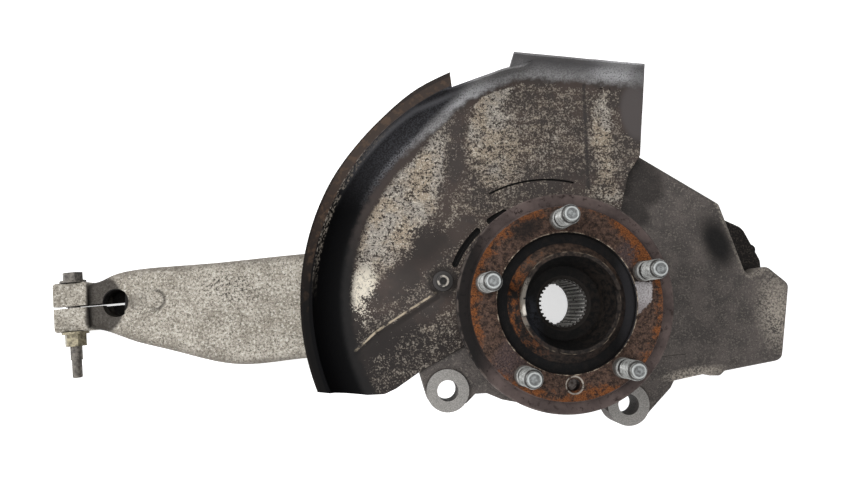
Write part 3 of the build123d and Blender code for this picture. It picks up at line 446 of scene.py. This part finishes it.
    # machined faces of the caliper lugs
    faced = f.step(f.z, LUG_FACE_Z - 0.35, LUG_FACE_Z - 0.15)
    tool_marks = f.noise(0.7, detail=2, shift=22.0)
    bare = f.mix(f.step(tool_marks, 0.35, 0.65), srgb(124, 122, 119), srgb(158, 155, 151))
    near_lug = f.step(f.least(f.radius(*LUGS[0]), f.radius(*LUGS[1])), LUG_R + 0.9, LUG_R + 0.2)
    bare_face = f.times(faced, near_lug)
    colour = f.mix(bare_face, colour, bare)
    # painted shade where the casting is closed in
    f.colour(f.shade_in_hollows(colour, 14, 0.22))
    f.feed("Roughness", f.between(bare_face, 0.64, 0.4))
    f.feed("Specular IOR Level", 0.13)
    f.bump(f.add(f.times(grain, 0.9), f.times(sand, 0.5), f.times(f.noise(5.0, shift=2.0), 1.2)), 0.3)
    return f.material


def hub_finish():
    """Rusted forging: orange and brown on the wheel face, black groove and bowl, worn metal on the edges;
    painted shade in the groove, a painted stud shadow and painted highlights.
    """
    f = Finish("rusted_hub", roughness=0.7)
    r = f.radius()
    mottle = f.noise(4.2, detail=5, roughness=0.72)
    broad = f.noise(24, detail=3, shift=9.0)
    fine = f.noise(1.1, detail=3, roughness=0.75, shift=2.0)
    wavy_r = f.add(r, f.times(f.add(mottle, -0.5), 9), f.times(f.add(broad, -0.5), 10))

    # wheel face: brown and purple mottling, orange towards its outer edge
    brown = f.mix(f.step(mottle, 0.40, 0.60), srgb(42, 33, 29), srgb(84, 66, 58))
    brown = f.mix(f.step(fine, 0.56, 0.66), brown, srgb(96, 74, 58))
    purple = f.mix(f.step(fine, 0.4, 0.6), srgb(56, 46, 46), srgb(78, 65, 63))
    quiet = f.most(f.patch(-40, -38, 15, 26, turn=-38, soft=0.5), f.patch(44, 34, 12, 20, turn=-40, soft=0.6))
    brown = f.mix(quiet, brown, purple)
    flecks = f.noise(1.5, detail=3, roughness=0.7, shift=25.0)
    brown = f.mix(f.times(f.step(flecks, 0.56, 0.66), 0.5), brown, srgb(124, 98, 80))
    orange = f.mix(f.step(fine, 0.34, 0.62), srgb(66, 40, 26), srgb(132, 80, 44))
    upper_right = f.patch(52, 40, 40, 22, turn=-45, soft=0.7)
    upper_left = f.patch(-50, 40, 34, 20, turn=45, soft=0.7)
    lower = f.patch(10, -64, 52, 14, turn=0, soft=0.7)
    left = f.patch(-64, -8, 12, 40, turn=0, soft=0.7)
    rusty = f.add(f.times(f.step(wavy_r, 57, 70), 0.6), f.times(upper_right, 0.55), f.times(upper_left, 0.26))
    rusty = f.add(rusty, f.times(lower, 0.3), f.times(left, 0.3), f.times(f.add(broad, -0.5), 1.5))
    rusty = f.add(rusty, f.times(f.add(mottle, -0.5), 1.8))
    face = f.mix(f.step(rusty, 0.48, 1.0), brown, orange)
    dark_spots = f.step(f.add(mottle, f.times(fine, 0.6)), 0.73, 0.62)
    face = f.mix(f.times(dark_spots, 0.7), face, srgb(36, 28, 26))
    face = f.mix(f.times(f.step(flecks, 0.46, 0.38), 0.55), face, srgb(26, 19, 16))
    under = f.add(f.times(f.x, -0.676), f.times(f.y, 0.737), 40.6)
    inside = f.least(f.least(f.add(f.times(f.x, -1), 61.6), f.add(f.times(f.y, -1), 15.5)), under)
    inside = f.least(inside, f.add(f.x, -44))
    clean = f.step(f.add(inside, f.times(f.add(mottle, -0.5), 7)), -0.4, 0.9)
    bare = f.mix(f.step(fine, 0.36, 0.6), srgb(126, 121, 121), srgb(178, 174, 175))
    bare = f.mix(f.times(f.step(f.y, 5, -5), 0.7), bare, srgb(116, 108, 107))
    face = f.mix(clean, face, bare)
    # painted shadow and soot left of the stud base at the right, and a dark soot stain near the top
    stud_shadow_and_soot = f.most(f.patch(49, 20, 11, 7.5, turn=20, soft=0.6), f.patch(-28, 53, 22, 12, turn=28, soft=0.9))
    face = f.mix(f.times(stud_shadow_and_soot, 0.85), face, srgb(18, 16, 16))

    # stepped outer zone
    outer = f.mix(f.step(broad, 0.35, 0.65), srgb(68, 59, 57), srgb(94, 82, 79))
    outer = f.mix(f.step(mottle, 0.53, 0.66), outer, srgb(46, 38, 36))
    outer = f.mix(f.times(f.step(f.x, -46, -68), 0.92), outer, srgb(11, 11, 11))
    rim_wear = f.step(f.noise(6, detail=3, shift=6.0), 0.42, 0.6)
    rim_wear = f.times(f.step(r, FLANGE_R - 1.8, FLANGE_R - 0.7), rim_wear)
    outer = f.mix(f.times(rim_wear, 0.4), outer, srgb(112, 102, 96))

    # groove, pilot and bowl
    # painted shade: the groove nearly black, lighter blue-grey at the right
    groove = f.mix(f.step(mottle, 0.44, 0.66), srgb(8, 8, 9), srgb(22, 19, 18))
    groove = f.mix(f.times(f.step(f.x, 34, 46), 0.7), groove, srgb(58, 57, 60))
    cone_side = f.step(f.add(f.x, f.times(broad, 24)), 4, -22)
    cone_rust = f.mix(f.step(fine, 0.35, 0.62), srgb(52, 32, 20), srgb(118, 70, 38))
    cone = f.mix(f.step(mottle, 0.4, 0.6), srgb(20, 17, 16), srgb(48, 40, 36))
    cone_top = f.mix(f.step(mottle, 0.4, 0.6), srgb(44, 36, 32), srgb(84, 68, 58))
    cone = f.mix(f.times(f.step(f.y, 8, 26), 0.8), cone, cone_top)
    rusty_side = f.times(cone_side, f.step(f.add(mottle, f.times(broad, 0.5)), 0.72, 0.90))
    cone = f.mix(rusty_side, cone, cone_rust)
    lips = f.mix(f.step(mottle, 0.42, 0.6), srgb(24, 21, 20), srgb(50, 44, 40))
    scuffed = f.times(f.step(f.x, -26, -32), f.times(f.step(f.y, 20, 12), f.step(f.y, -20, -14)))
    lips = f.mix(f.times(scuffed, f.step(mottle, 0.4, 0.5)), lips, srgb(126, 120, 112))
    outer_edge = f.times(f.step(r, 35.2, 35.7), f.step(f.noise(8, detail=3, shift=2.0), 0.46, 0.6))
    lips = f.mix(f.times(outer_edge, 0.7), lips, srgb(120, 108, 94))
    # painted highlight on the pilot's lip at the left
    lips = f.mix(f.patch(-33.6, -5, 2.2, 5, soft=0.6), lips, srgb(214, 208, 198))
    cone = f.mix(f.step(f.z, 8.6, 9.2), cone, lips)
    bowl = f.mix(f.step(mottle, 0.42, 0.66), srgb(6, 6, 6), srgb(18, 16, 15))
    bowl = f.mix(f.times(f.step(f.x, 2, 26), f.step(mottle, 0.4, 0.6)), bowl, srgb(30, 25, 22))
    gleam = f.times(f.patch(-26, -10, 12, 24, turn=14, soft=0.8), f.step(mottle, 0.38, 0.56))
    bowl = f.mix(gleam, bowl, srgb(52, 54, 60))
    steel = f.mix(f.noise(1.5, stretch=(1, 1, 20)), srgb(168, 165, 160), srgb(240, 238, 234))
    steel = f.mix(f.step(f.noise(6, detail=3, shift=12.0), 0.56, 0.68), steel, srgb(82, 78, 75))
    worn_metal = f.mix(f.step(mottle, 0.44, 0.60), srgb(60, 48, 40), srgb(176, 162, 144))

    # the zones from the rim inwards
    colour = f.mix(f.step(r, FACE_R - 0.2, FACE_R + 0.4), face, outer)
    colour = f.mix(f.step(r, GROOVE_EDGE_R + 0.1, GROOVE_EDGE_R - 0.2), colour, groove)
    chamfer = f.band(r, GROOVE_EDGE_R - 0.1, GROOVE_EDGE_R + 0.5, 0.2)
    chamfer_wear = f.times(chamfer, f.step(f.noise(9, detail=2, shift=5.0), 0.36, 0.5))
    colour = f.mix(chamfer_wear, colour, worn_metal)
    colour = f.mix(f.step(r, CONE_FOOT_R + 0.2, CONE_FOOT_R - 0.4), colour, cone)
    colour = f.mix(f.step(r, BOWL_R + 0.2, BOWL_R - 0.2), colour, bowl)
    mouth_edge = f.times(f.step(r, BORE_MOUTH_R + 0.3, BORE_MOUTH_R - 0.3), f.step(f.z, -11.0, -11.4))
    colour = f.mix(mouth_edge, colour, srgb(34, 31, 29))
    in_bore = f.times(f.step(r, BORE_RELIEF_R + 0.2, BORE_RELIEF_R - 0.3), f.step(f.z, -13.6, -14.6))
    hole = f.radius(*SCREW_HOLE_AT)
    mouth = f.times(f.band(hole, 5.6, 6.6, 0.3), f.step(f.z, -4.0, -3.0))
    colour = f.mix(f.times(mouth, f.step(mottle, 0.36, 0.5)), colour, srgb(170, 162, 152))
    # painted shade where the hub and its bore are closed in
    f.colour(f.mix(in_bore, f.shade_in_hollows(colour, 10, 0.2), f.shade_in_hollows(steel, 2, 0.3)))
    f.feed("Specular IOR Level", 0.11)
    f.bump(f.add(f.times(mottle, 0.8), f.times(fine, 0.5)), 0.28)
    return f.material


def steel_finish(name, light, dark, roughness=0.4, metallic=0.8, size=3.0):
    """Bare or plated steel with soft blotches."""
    f = Finish(name, roughness=roughness, metallic=metallic)
    blotch = f.noise(size, detail=4, roughness=0.65)
    f.colour(f.mix(f.step(blotch, 0.35, 0.65), dark, light))
    f.feed("Roughness", f.between(blotch, roughness - 0.08, roughness + 0.14))
    f.bump(f.noise(0.8, detail=2), 0.04)
    return f.material


def plain_finish(name, light, dark, roughness=0.6, size=2.0):
    """Moulded or rubber surface with a little grain."""
    return steel_finish(name, light, dark, roughness=roughness, metallic=0.0, size=size)


def stud_finish():
    """Zinc-plated thread: painted shade in its roots, dark at the neck, bright on the crests and round the
    end face.
    """
    f = Finish("zinc_studs", roughness=0.36, metallic=0.3)
    blotch = f.noise(2.6, detail=4, roughness=0.65)
    r = f.radius(*STUD_CENTRES[0])
    for centre in STUD_CENTRES[1:]:
        r = f.least(r, f.radius(*centre))
    colour = f.mix(f.step(blotch, 0.38, 0.62), srgb(96, 96, 93), srgb(150, 151, 149))
    # painted shade in the thread roots
    in_thread = f.band(f.z, 14.6, 33.0, 0.2)
    colour = f.mix(f.times(in_thread, f.step(r, 6.75, 6.25)), colour, srgb(34, 32, 30))
    colour = f.mix(f.band(f.z, 9.6, 14.2, 0.6), colour, srgb(30, 28, 27))
    colour = f.mix(f.band(f.z, 6.2, 8.8, 0.4), colour, srgb(180, 181, 178))
    colour = f.mix(f.band(f.z, 4.6, 5.6, 0.3), colour, srgb(70, 68, 66))
    colour = f.mix(f.times(f.step(f.z, 3.5, 0.5), 0.85), colour, srgb(58, 46, 38))
    on_end = f.step(f.z, 35.0, 35.3)
    end = f.mix(f.step(blotch, 0.38, 0.6), srgb(90, 92, 92), srgb(132, 135, 135))
    end = f.mix(f.band(r, 4.0, 4.9, 0.3), end, srgb(168, 171, 170))
    end = f.mix(f.times(f.band(r, 2.6, 3.2, 0.25), 0.6), end, srgb(84, 84, 84))
    colour = f.mix(on_end, colour, end)
    f.colour(colour)
    f.feed("Roughness", f.between(blotch, 0.30, 0.52))
    f.bump(f.noise(0.9, detail=2), 0.02)
    return f.material


def screw_finish():
    """Dark shield screw with a bright worn rim round its socket, and its dull washer."""
    f = Finish("shield_screw_steel", roughness=0.5, metallic=0.3)
    r = f.radius(*SHIELD_SCREW_AT)
    wear = f.noise(3.0, detail=3, shift=3.0)
    ring = f.times(f.band(r, 3.1, 4.6, 0.3), f.step(wear, 0.40, 0.56))
    colour = f.mix(ring, srgb(46, 43, 42), srgb(168, 162, 152))
    # painted shade where the screw is closed in
    f.colour(f.shade_in_hollows(colour, 5, 0.3))
    f.bump(wear, 0.1)
    return f.material


def paint(node, material):
    """A carried-over CAD node takes the material in its slots."""
    mesh = frame["nodes"][node].data
    mesh.materials.clear()
    mesh.materials.append(material)


materials = {
    "cast_aluminium": casting_finish(),
    "shield_steel": shield_finish(),
    "hub_steel": hub_finish(),
    "stud_steel": stud_finish(),
    "bolt_steel": steel_finish("dark_bolt", srgb(104, 99, 92), srgb(52, 48, 44), roughness=0.5, metallic=0.3),
    "zinc_steel": steel_finish(
        "yellow_zinc", srgb(148, 140, 116), srgb(84, 77, 62), roughness=0.42, metallic=0.4,
    ),
    "screw_steel": screw_finish(),
    "bearing_steel": steel_finish("bearing_steel", srgb(132, 126, 122), srgb(70, 62, 58), roughness=0.42),
    "seal_rubber": plain_finish("seal_rubber", srgb(46, 46, 48), srgb(28, 28, 30)),
    "cage_polymer": plain_finish("cage_polymer", srgb(186, 174, 140), srgb(158, 146, 112)),
}

for subpart in frame["record"]["subparts"]:
    paint(subpart["node"], materials[subpart["material_slot"]])

# ---------------------------------------------------------------- threaded pieces


THREAD_PITCH = 1.5
THREAD_DEPTH = 0.85
THREAD_START, THREAD_END = 14.6, 32.9
THREAD_ROWS_PER_TURN = 6
THREAD_FLANK, THREAD_CREST = 1.25, 0.1
THREAD_SHARP_ANGLE = 32


def turned(points, start, end, pitch, depth, segments=44):
    """Vertices and faces of (radius, height) points turned about Z, with a thread from start to end."""
    rows = []
    for (r0, z0), (r1, z1) in zip(points, points[1:]):
        threaded = min(z0, z1) >= start and max(z0, z1) <= end
        steps = max(1, round(abs(z1 - z0) / (pitch / THREAD_ROWS_PER_TURN))) if threaded else 1
        rows += [(r0 + (r1 - r0) * i / steps, z0 + (z1 - z0) * i / steps) for i in range(steps)]
    rows.append(points[-1])
    vertices, faces = [], []
    for radius, z in rows:
        cut_in = max(0.0, min(1.0, (z - start) / pitch, (end - z) / pitch))
        for k in range(segments):
            turn = z / pitch - k / segments
            crest = abs(2 * (turn % 1.0) - 1)
            r = radius - depth * cut_in * min(1.0, max(0.0, THREAD_FLANK * crest - THREAD_CREST))
            vertices.append((r * cos(2 * pi * k / segments), r * sin(2 * pi * k / segments), z))
    for row in range(len(rows) - 1):
        for k in range(segments):
            a, b = row * segments + k, row * segments + (k + 1) % segments
            faces.append((a, b, b + segments, a + segments))
    faces.append(tuple(range(segments))[::-1])
    faces.append(tuple(range((len(rows) - 1) * segments, len(rows) * segments)))
    return vertices, faces


def placed(parts, name):
    """One mesh object from (vertices, faces, matrix) parts given in millimetres."""
    vertices, faces = [], []
    for points, polygons, matrix in parts:
        first = len(vertices)
        vertices += [(matrix @ Vector(point)) * MM for point in points]
        faces += [tuple(first + i for i in polygon) for polygon in polygons]
    mesh = bpy.data.meshes.new(name)
    mesh.from_pydata(vertices, [], faces)
    mesh.update()
    made = bmesh.new()
    made.from_mesh(mesh)
    bmesh.ops.recalc_face_normals(made, faces=made.faces)
    made.to_mesh(mesh)
    made.free()
    for polygon in mesh.polygons:
        polygon.use_smooth = True
    mesh.set_sharp_from_angle(angle=radians(THREAD_SHARP_ANGLE))
    piece = bpy.data.objects.new(name, mesh)
    bpy.context.scene.collection.objects.link(piece)
    return piece


STUD_PROFILE = [
    (10.5, -16.5), (10.5, -12.0), (7.6, -12.0), (7.6, 0.0), (7.0, 0.0), (7.0, 8.7), (6.7, 9.0), (6.0, 10.5),
    (6.0, 13.5), (6.9, 14.6), (6.9, 31.4), (5.7, 32.9), (5.3, 33.1), (5.2, 35.3), (4.7, 35.9), (3.5, 35.9),
    (3.2, 35.5), (2.4, 35.5), (2.2, 35.8), (0.9, 35.8), (0.6, 35.3),
]

stud_parts = []
for angle, centre in zip(STUD_ANGLES, STUD_CENTRES):
    stand = Matrix.Translation((*centre, 0.0)) @ Matrix.Rotation(angle * 3, 4, "Z")
    stud = turned(STUD_PROFILE, THREAD_START, THREAD_END, THREAD_PITCH, THREAD_DEPTH)
    stud_parts.append((*stud, stand))
studs = placed(stud_parts, "threaded_wheel_studs")
studs.data.materials.append(materials["stud_steel"])
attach(studs, "hub")
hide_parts("wheel_studs")

# ---------------------------------------------------------------- pressed sheet of the dust shield


def smooth_step(value, low, high):
    """0 at low, 1 at high, smooth between and level beyond. low may be over high."""
    t = min(1.0, max(0.0, (value - low) / (high - low)))
    return t * t * (3 - 2 * t)


def distance(x, y, centre=(0.0, 0.0)):
    return ((x - centre[0]) ** 2 + (y - centre[1]) ** 2) ** 0.5


def off_line(x, y, start, end):
    """(distance to one side, how far along from 0 to 1) of a point against a straight line."""
    dx, dy = end[0] - start[0], end[1] - start[1]
    length = (dx * dx + dy * dy) ** 0.5
    from_x, from_y = x - start[0], y - start[1]
    side = (from_y * dx - from_x * dy) / length
    return side, (from_x * dx + from_y * dy) / length ** 2


STEP_LINE = ((31.0, 178.0), (33.0, 88.0))
STEP_HEIGHT = 1.7
RIDGE = [(-86.0, 11.5), (-135.8, -20.8), (-164.0, -46.5)]
RIDGE_HEIGHT, RIDGE_WIDTH = 1.5, 1.7
BOSS_RING_R, BOSS_RING_HEIGHT, BOSS_RING_WIDTH = 12.5, 0.9, 2.2
WAVE_LENGTH, WAVE_HEIGHT, RIPPLE_HEIGHT = 38, 0.8, 0.35


def pressed_height(x, y):
    """How far the pressed panel stands off its flat plane, in millimetres."""
    shield_r = distance(x, y, SHIELD_CENTER)
    away = smooth_step(distance(x, y), 76, 84) * (1 - smooth_step(shield_r, 146, 160) * (1 if x < -60 else 0))

    # the step at the right, the ridge at the left and the raised ring round the screw
    side, along = off_line(x, y, *STEP_LINE)
    height = STEP_HEIGHT * smooth_step(side, -1.6, 1.6) * smooth_step(along, 1.12, 0.94)
    height *= smooth_step(along, -0.2, 0.0)
    for start, end in zip(RIDGE, RIDGE[1:]):
        side, along = off_line(x, y, start, end)
        if -0.02 <= along <= 1.02:
            fade = smooth_step(along, 0.0, 0.15) if start == RIDGE[0] else 1.0
            height += RIDGE_HEIGHT * exp(-(side / RIDGE_WIDTH) ** 2) * fade
    screw = distance(x, y, SHIELD_SCREW_AT)
    height += BOSS_RING_HEIGHT * exp(-((screw - BOSS_RING_R) / BOSS_RING_WIDTH) ** 2)

    place = Vector((x / WAVE_LENGTH, y / WAVE_LENGTH, 0.3))
    height += WAVE_HEIGHT * noise.noise(place) + RIPPLE_HEIGHT * noise.noise(place * 2.7)
    return height * away * smooth_step(screw, 8.2, 10.5)


SHEET_GRID = 3.0
SHEET_SHARP_ANGLE = 38
WELD_WITHIN = 0.02
CUT_WITHIN = 0.001


def finely_cut(source, name, spacing, reshape):
    """A welded copy of a CAD node's mesh, reshaped point by point, then cut by a square grid of planes."""
    mesh = source.data
    made = bmesh.new()
    corners = [made.verts.new(Vector(reshape(*(vertex.co / MM))) * MM) for vertex in mesh.vertices]
    for polygon in mesh.polygons:
        try:
            made.faces.new([corners[i] for i in polygon.vertices])
        except ValueError:
            continue
    bmesh.ops.remove_doubles(made, verts=made.verts, dist=WELD_WITHIN * MM)
    low = [min(v.co[axis] for v in made.verts) for axis in range(2)]
    high = [max(v.co[axis] for v in made.verts) for axis in range(2)]
    for axis in range(2):
        normal = [0.0, 0.0, 0.0]
        normal[axis] = 1.0
        for step in range(1, int((high[axis] - low[axis]) / spacing) + 1):
            point = [0.0, 0.0, 0.0]
            point[axis] = low[axis] + step * spacing
            everything = made.verts[:] + made.edges[:] + made.faces[:]
            bmesh.ops.bisect_plane(
                made, geom=everything, plane_co=point, plane_no=normal, dist=CUT_WITHIN * MM,
            )
    mesh = bpy.data.meshes.new(name)
    made.to_mesh(mesh)
    made.free()
    piece = bpy.data.objects.new(name, mesh)
    bpy.context.scene.collection.objects.link(piece)
    return piece


BEAD_TOP, BEAD_HOLLOW = -58.9, -60.4
WALL_FOOT_Z, WALL_TOP_Z = -44.5, -29.5
WALL_TOP_SHIFT = (-13.0, -0.1)
WALL_TOP_LEAN = 1.9
WALL_START_SHIFT = (-10.0, -7.0)
LIP_FROM, LIP_Z = 25, -46
LIP_INSET = 1.0
LIP_END_PUSH, LIP_END_DRAW = 2.3, 5.6
ROLL_EDGE_DROP = 5.8
ROLL_EDGE_SHIFT = 2.8
TAB_END = ((71.0, 184.2, -29.5), (78.7, 156.0, -60.0))
TAB_END_ALONG = 62.75
TAB_CORNER = (79.5, 156.0)
TAB_CORNER_INSET = 0.8


def flattened(x, y, z):
    """Where a point of the plain sheet goes: beads out, the tab's wall leaning, the lip and roll run out."""
    if abs(z - BEAD_TOP) < 0.02:
        z = PANEL_Z
    elif abs(z - BEAD_HOLLOW) < 0.02:
        z = SEAT_Z
    on_lip = distance(x, y, SHIELD_CENTER) - ROLL_START_R > LIP_FROM and z > LIP_Z
    if z > WALL_TOP_Z - 0.3:
        # top edge of the tab's wall
        x, y = (x + WALL_TOP_SHIFT[0], y + WALL_TOP_SHIFT[1]) if x < 0 else (x, y - WALL_TOP_LEAN)
    elif z > WALL_FOOT_Z - 0.3 and y > 191.8 and -22.5 < x < -17.0:
        # foot of the wall, where it starts beside the roll
        x, y = x + WALL_START_SHIFT[0], y + WALL_START_SHIFT[1]
    elif on_lip and x < -150:
        # lip at the far left
        x -= LIP_INSET * smooth_step(x, -150, -172)
    elif on_lip and y > 60 and x < -60:
        # upper end of the lip, wider and drawn out along the rim
        push = LIP_END_PUSH * smooth_step(x, -140, -100)
        along = LIP_END_DRAW * smooth_step(x, -97, -82)
        x, y = x - 0.42 * push + 0.9 * along, y + 0.9 * push + 0.42 * along
    elif -95 < x < -12 and y > 140:
        # outer edge of the roll beside the tab
        y -= ROLL_EDGE_DROP * smooth_step(x, -92, -58) * smooth_step(x, -12, -22) * smooth_step(z, -57, -46)
        if -84 < x < -78 and z > LIP_Z and y > 160:
            x += ROLL_EDGE_SHIFT
    if abs(TAB_TURN[1] * x - TAB_TURN[0] * y - TAB_END_ALONG) < 0.6 and y > 160 and x > 60:
        x = on_sight_plane(y, z)
    elif abs(x - TAB_CORNER[0]) < 0.05 and abs(y - TAB_CORNER[1]) < 0.05:
        x -= TAB_CORNER_INSET
    return x, y, z


def on_sight_plane(y, z):
    """Where a point of the tab's free end lies along X, so that the end is seen as one straight line."""
    sight = Vector(CAMERA_AT)
    normal = (Vector(TAB_END[0]) - sight).cross(Vector(TAB_END[1]) - sight)
    off = (y - sight.y) * normal.y + (z - sight.z) * normal.z
    return sight.x - off / normal.x


sheet = finely_cut(frame["nodes"]["dust_shield"], "pressed_shield_sheet", SHEET_GRID * MM, flattened)
for vertex in sheet.data.vertices:
    x, y, z = vertex.co / MM
    vertex.co.z = (z + pressed_height(x, y)) * MM
for polygon in sheet.data.polygons:
    polygon.use_smooth = True
sheet.data.set_sharp_from_angle(angle=radians(SHEET_SHARP_ANGLE))
sheet.data.materials.append(materials["shield_steel"])
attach(sheet, "upright")
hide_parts("dust_shield")

# ---------------------------------------------------------------- floor, world, lights and camera


def make_camera():
    """Looks inboard from over the arm; lines along the hub axis meet at a pixel to the left of the bore."""
    data = bpy.data.cameras.new("camera")
    data.sensor_fit = "HORIZONTAL"
    data.sensor_width = SENSOR_WIDTH
    data.lens = SENSOR_WIDTH * FOCAL_PX / IMAGE_WIDTH
    data.clip_start = 0.01
    camera = bpy.data.objects.new("camera", data)
    bpy.context.scene.collection.objects.link(camera)
    right = (HUB_AXIS_VANISHES_AT[0] - IMAGE_CENTRE[0]) / FOCAL_PX
    up = (IMAGE_CENTRE[1] - HUB_AXIS_VANISHES_AT[1]) / FOCAL_PX
    inboard = Vector((0, 0, -1))
    turn = inboard.rotation_difference(Vector((right, up, -1)).normalized()).to_matrix()
    camera.matrix_world = Matrix.Translation(Vector(CAMERA_AT) * MM) @ turn.transposed().to_4x4()
    bpy.context.scene.camera = camera


def make_lamp(name, at, target, size, power):
    data = bpy.data.lights.new(name, "AREA")
    data.shape = "DISK"
    data.size = size
    data.energy = power
    lamp = bpy.data.objects.new(name, data)
    lamp.location = at
    lamp.rotation_euler = (Vector(target) - Vector(at)).to_track_quat("-Z", "Y").to_euler()
    bpy.context.scene.collection.objects.link(lamp)


def seen_directly(nodes, links):
    """1 for rays from the camera, off metal and through glass, 0 for the rays that light the part."""
    path = nodes.new("ShaderNodeLightPath")
    seen = path.outputs["Is Camera Ray"]
    for ray in ("Is Glossy Ray", "Is Transmission Ray"):
        either = nodes.new("ShaderNodeMath")
        either.operation = "MAXIMUM"
        links.new(seen, either.inputs[0])
        links.new(path.outputs[ray], either.inputs[1])
        seen = either.outputs[0]
    return seen


AMBIENT = 0.24
FLOOR_MARGIN = 0.0005
FLOOR_HALF = 6.0
FLOOR_TONE = srgb(232, 232, 232)
FLOOR_GLOW = 0.72
SHADE_AT = (31.3, 2.4)
SHADE_R = (20.0, 92.0)
SHADE_DEPTH = 0.62


def make_world():
    world = bpy.data.worlds.new("studio")
    world.use_nodes = True
    bpy.context.scene.world = world
    nodes, links = world.node_tree.nodes, world.node_tree.links
    background = nodes["Background"]
    strength = nodes.new("ShaderNodeMapRange")
    strength.inputs["To Min"].default_value = AMBIENT
    strength.inputs["To Max"].default_value = 1.0
    links.new(seen_directly(nodes, links), strength.inputs["Value"])
    links.new(strength.outputs[0], background.inputs["Strength"])
    background.inputs["Color"].default_value = (1, 1, 1, 1)


def make_floor():
    """A wide pale floor under the part, white where it is seen, with a soft round shade behind the bore."""
    mesh = bpy.data.meshes.new("floor")
    low = cad_box[0][2] - FLOOR_MARGIN
    corners = [(x * FLOOR_HALF, y * FLOOR_HALF, low) for x, y in ((-1, -1), (1, -1), (1, 1), (-1, 1))]
    mesh.from_pydata(corners, [], [(0, 1, 2, 3)])
    floor = bpy.data.objects.new("floor", mesh)
    bpy.context.scene.collection.objects.link(floor)
    material = bpy.data.materials.new("pale_floor")
    material.use_nodes = True
    nodes, links = material.node_tree.nodes, material.node_tree.links
    shader = nodes["Principled BSDF"]
    shader.inputs["Base Color"].default_value = FLOOR_TONE
    shader.inputs["Roughness"].default_value = 0.9
    shader.inputs["Emission Color"].default_value = (1, 1, 1, 1)
    glow = nodes.new("ShaderNodeMath")
    glow.operation = "MULTIPLY"
    glow.inputs[1].default_value = FLOOR_GLOW
    place = nodes.new("ShaderNodeTexCoord")
    centre = nodes.new("ShaderNodeVectorMath")
    centre.operation = "DISTANCE"
    centre.inputs[1].default_value = (SHADE_AT[0] * MM, SHADE_AT[1] * MM, low)
    links.new(place.outputs["Object"], centre.inputs[0])
    shade = nodes.new("ShaderNodeMapRange")
    shade.interpolation_type = "SMOOTHSTEP"
    shade.inputs["From Min"].default_value = SHADE_R[0] * MM
    shade.inputs["From Max"].default_value = SHADE_R[1] * MM
    shade.inputs["To Min"].default_value = SHADE_DEPTH
    links.new(centre.outputs["Value"], shade.inputs["Value"])
    shaded = nodes.new("ShaderNodeMath")
    shaded.operation = "MULTIPLY"
    links.new(seen_directly(nodes, links), shaded.inputs[0])
    links.new(shade.outputs[0], shaded.inputs[1])
    links.new(shaded.outputs[0], glow.inputs[0])
    links.new(glow.outputs[0], shader.inputs["Emission Strength"])
    mesh.materials.append(material)


LAMPS_LOOK_AT = (-0.08, 0.0, -0.08)
# name, place and disk size in metres, power in watts
LAMPS = [
    ("left_soft", (-1.5, 0.35, 0.9), 1.2, 26),
    ("below_soft", (0.1, -1.5, 0.8), 1.0, 12),
    ("top_soft", (-0.2, 0.3, 1.9), 1.4, 12),
]

make_camera()
make_world()
make_floor()
for name, at, size, power in LAMPS:
    make_lamp(name, at, LAMPS_LOOK_AT, size, power)

bpy.context.scene.view_settings.view_transform = "Standard"
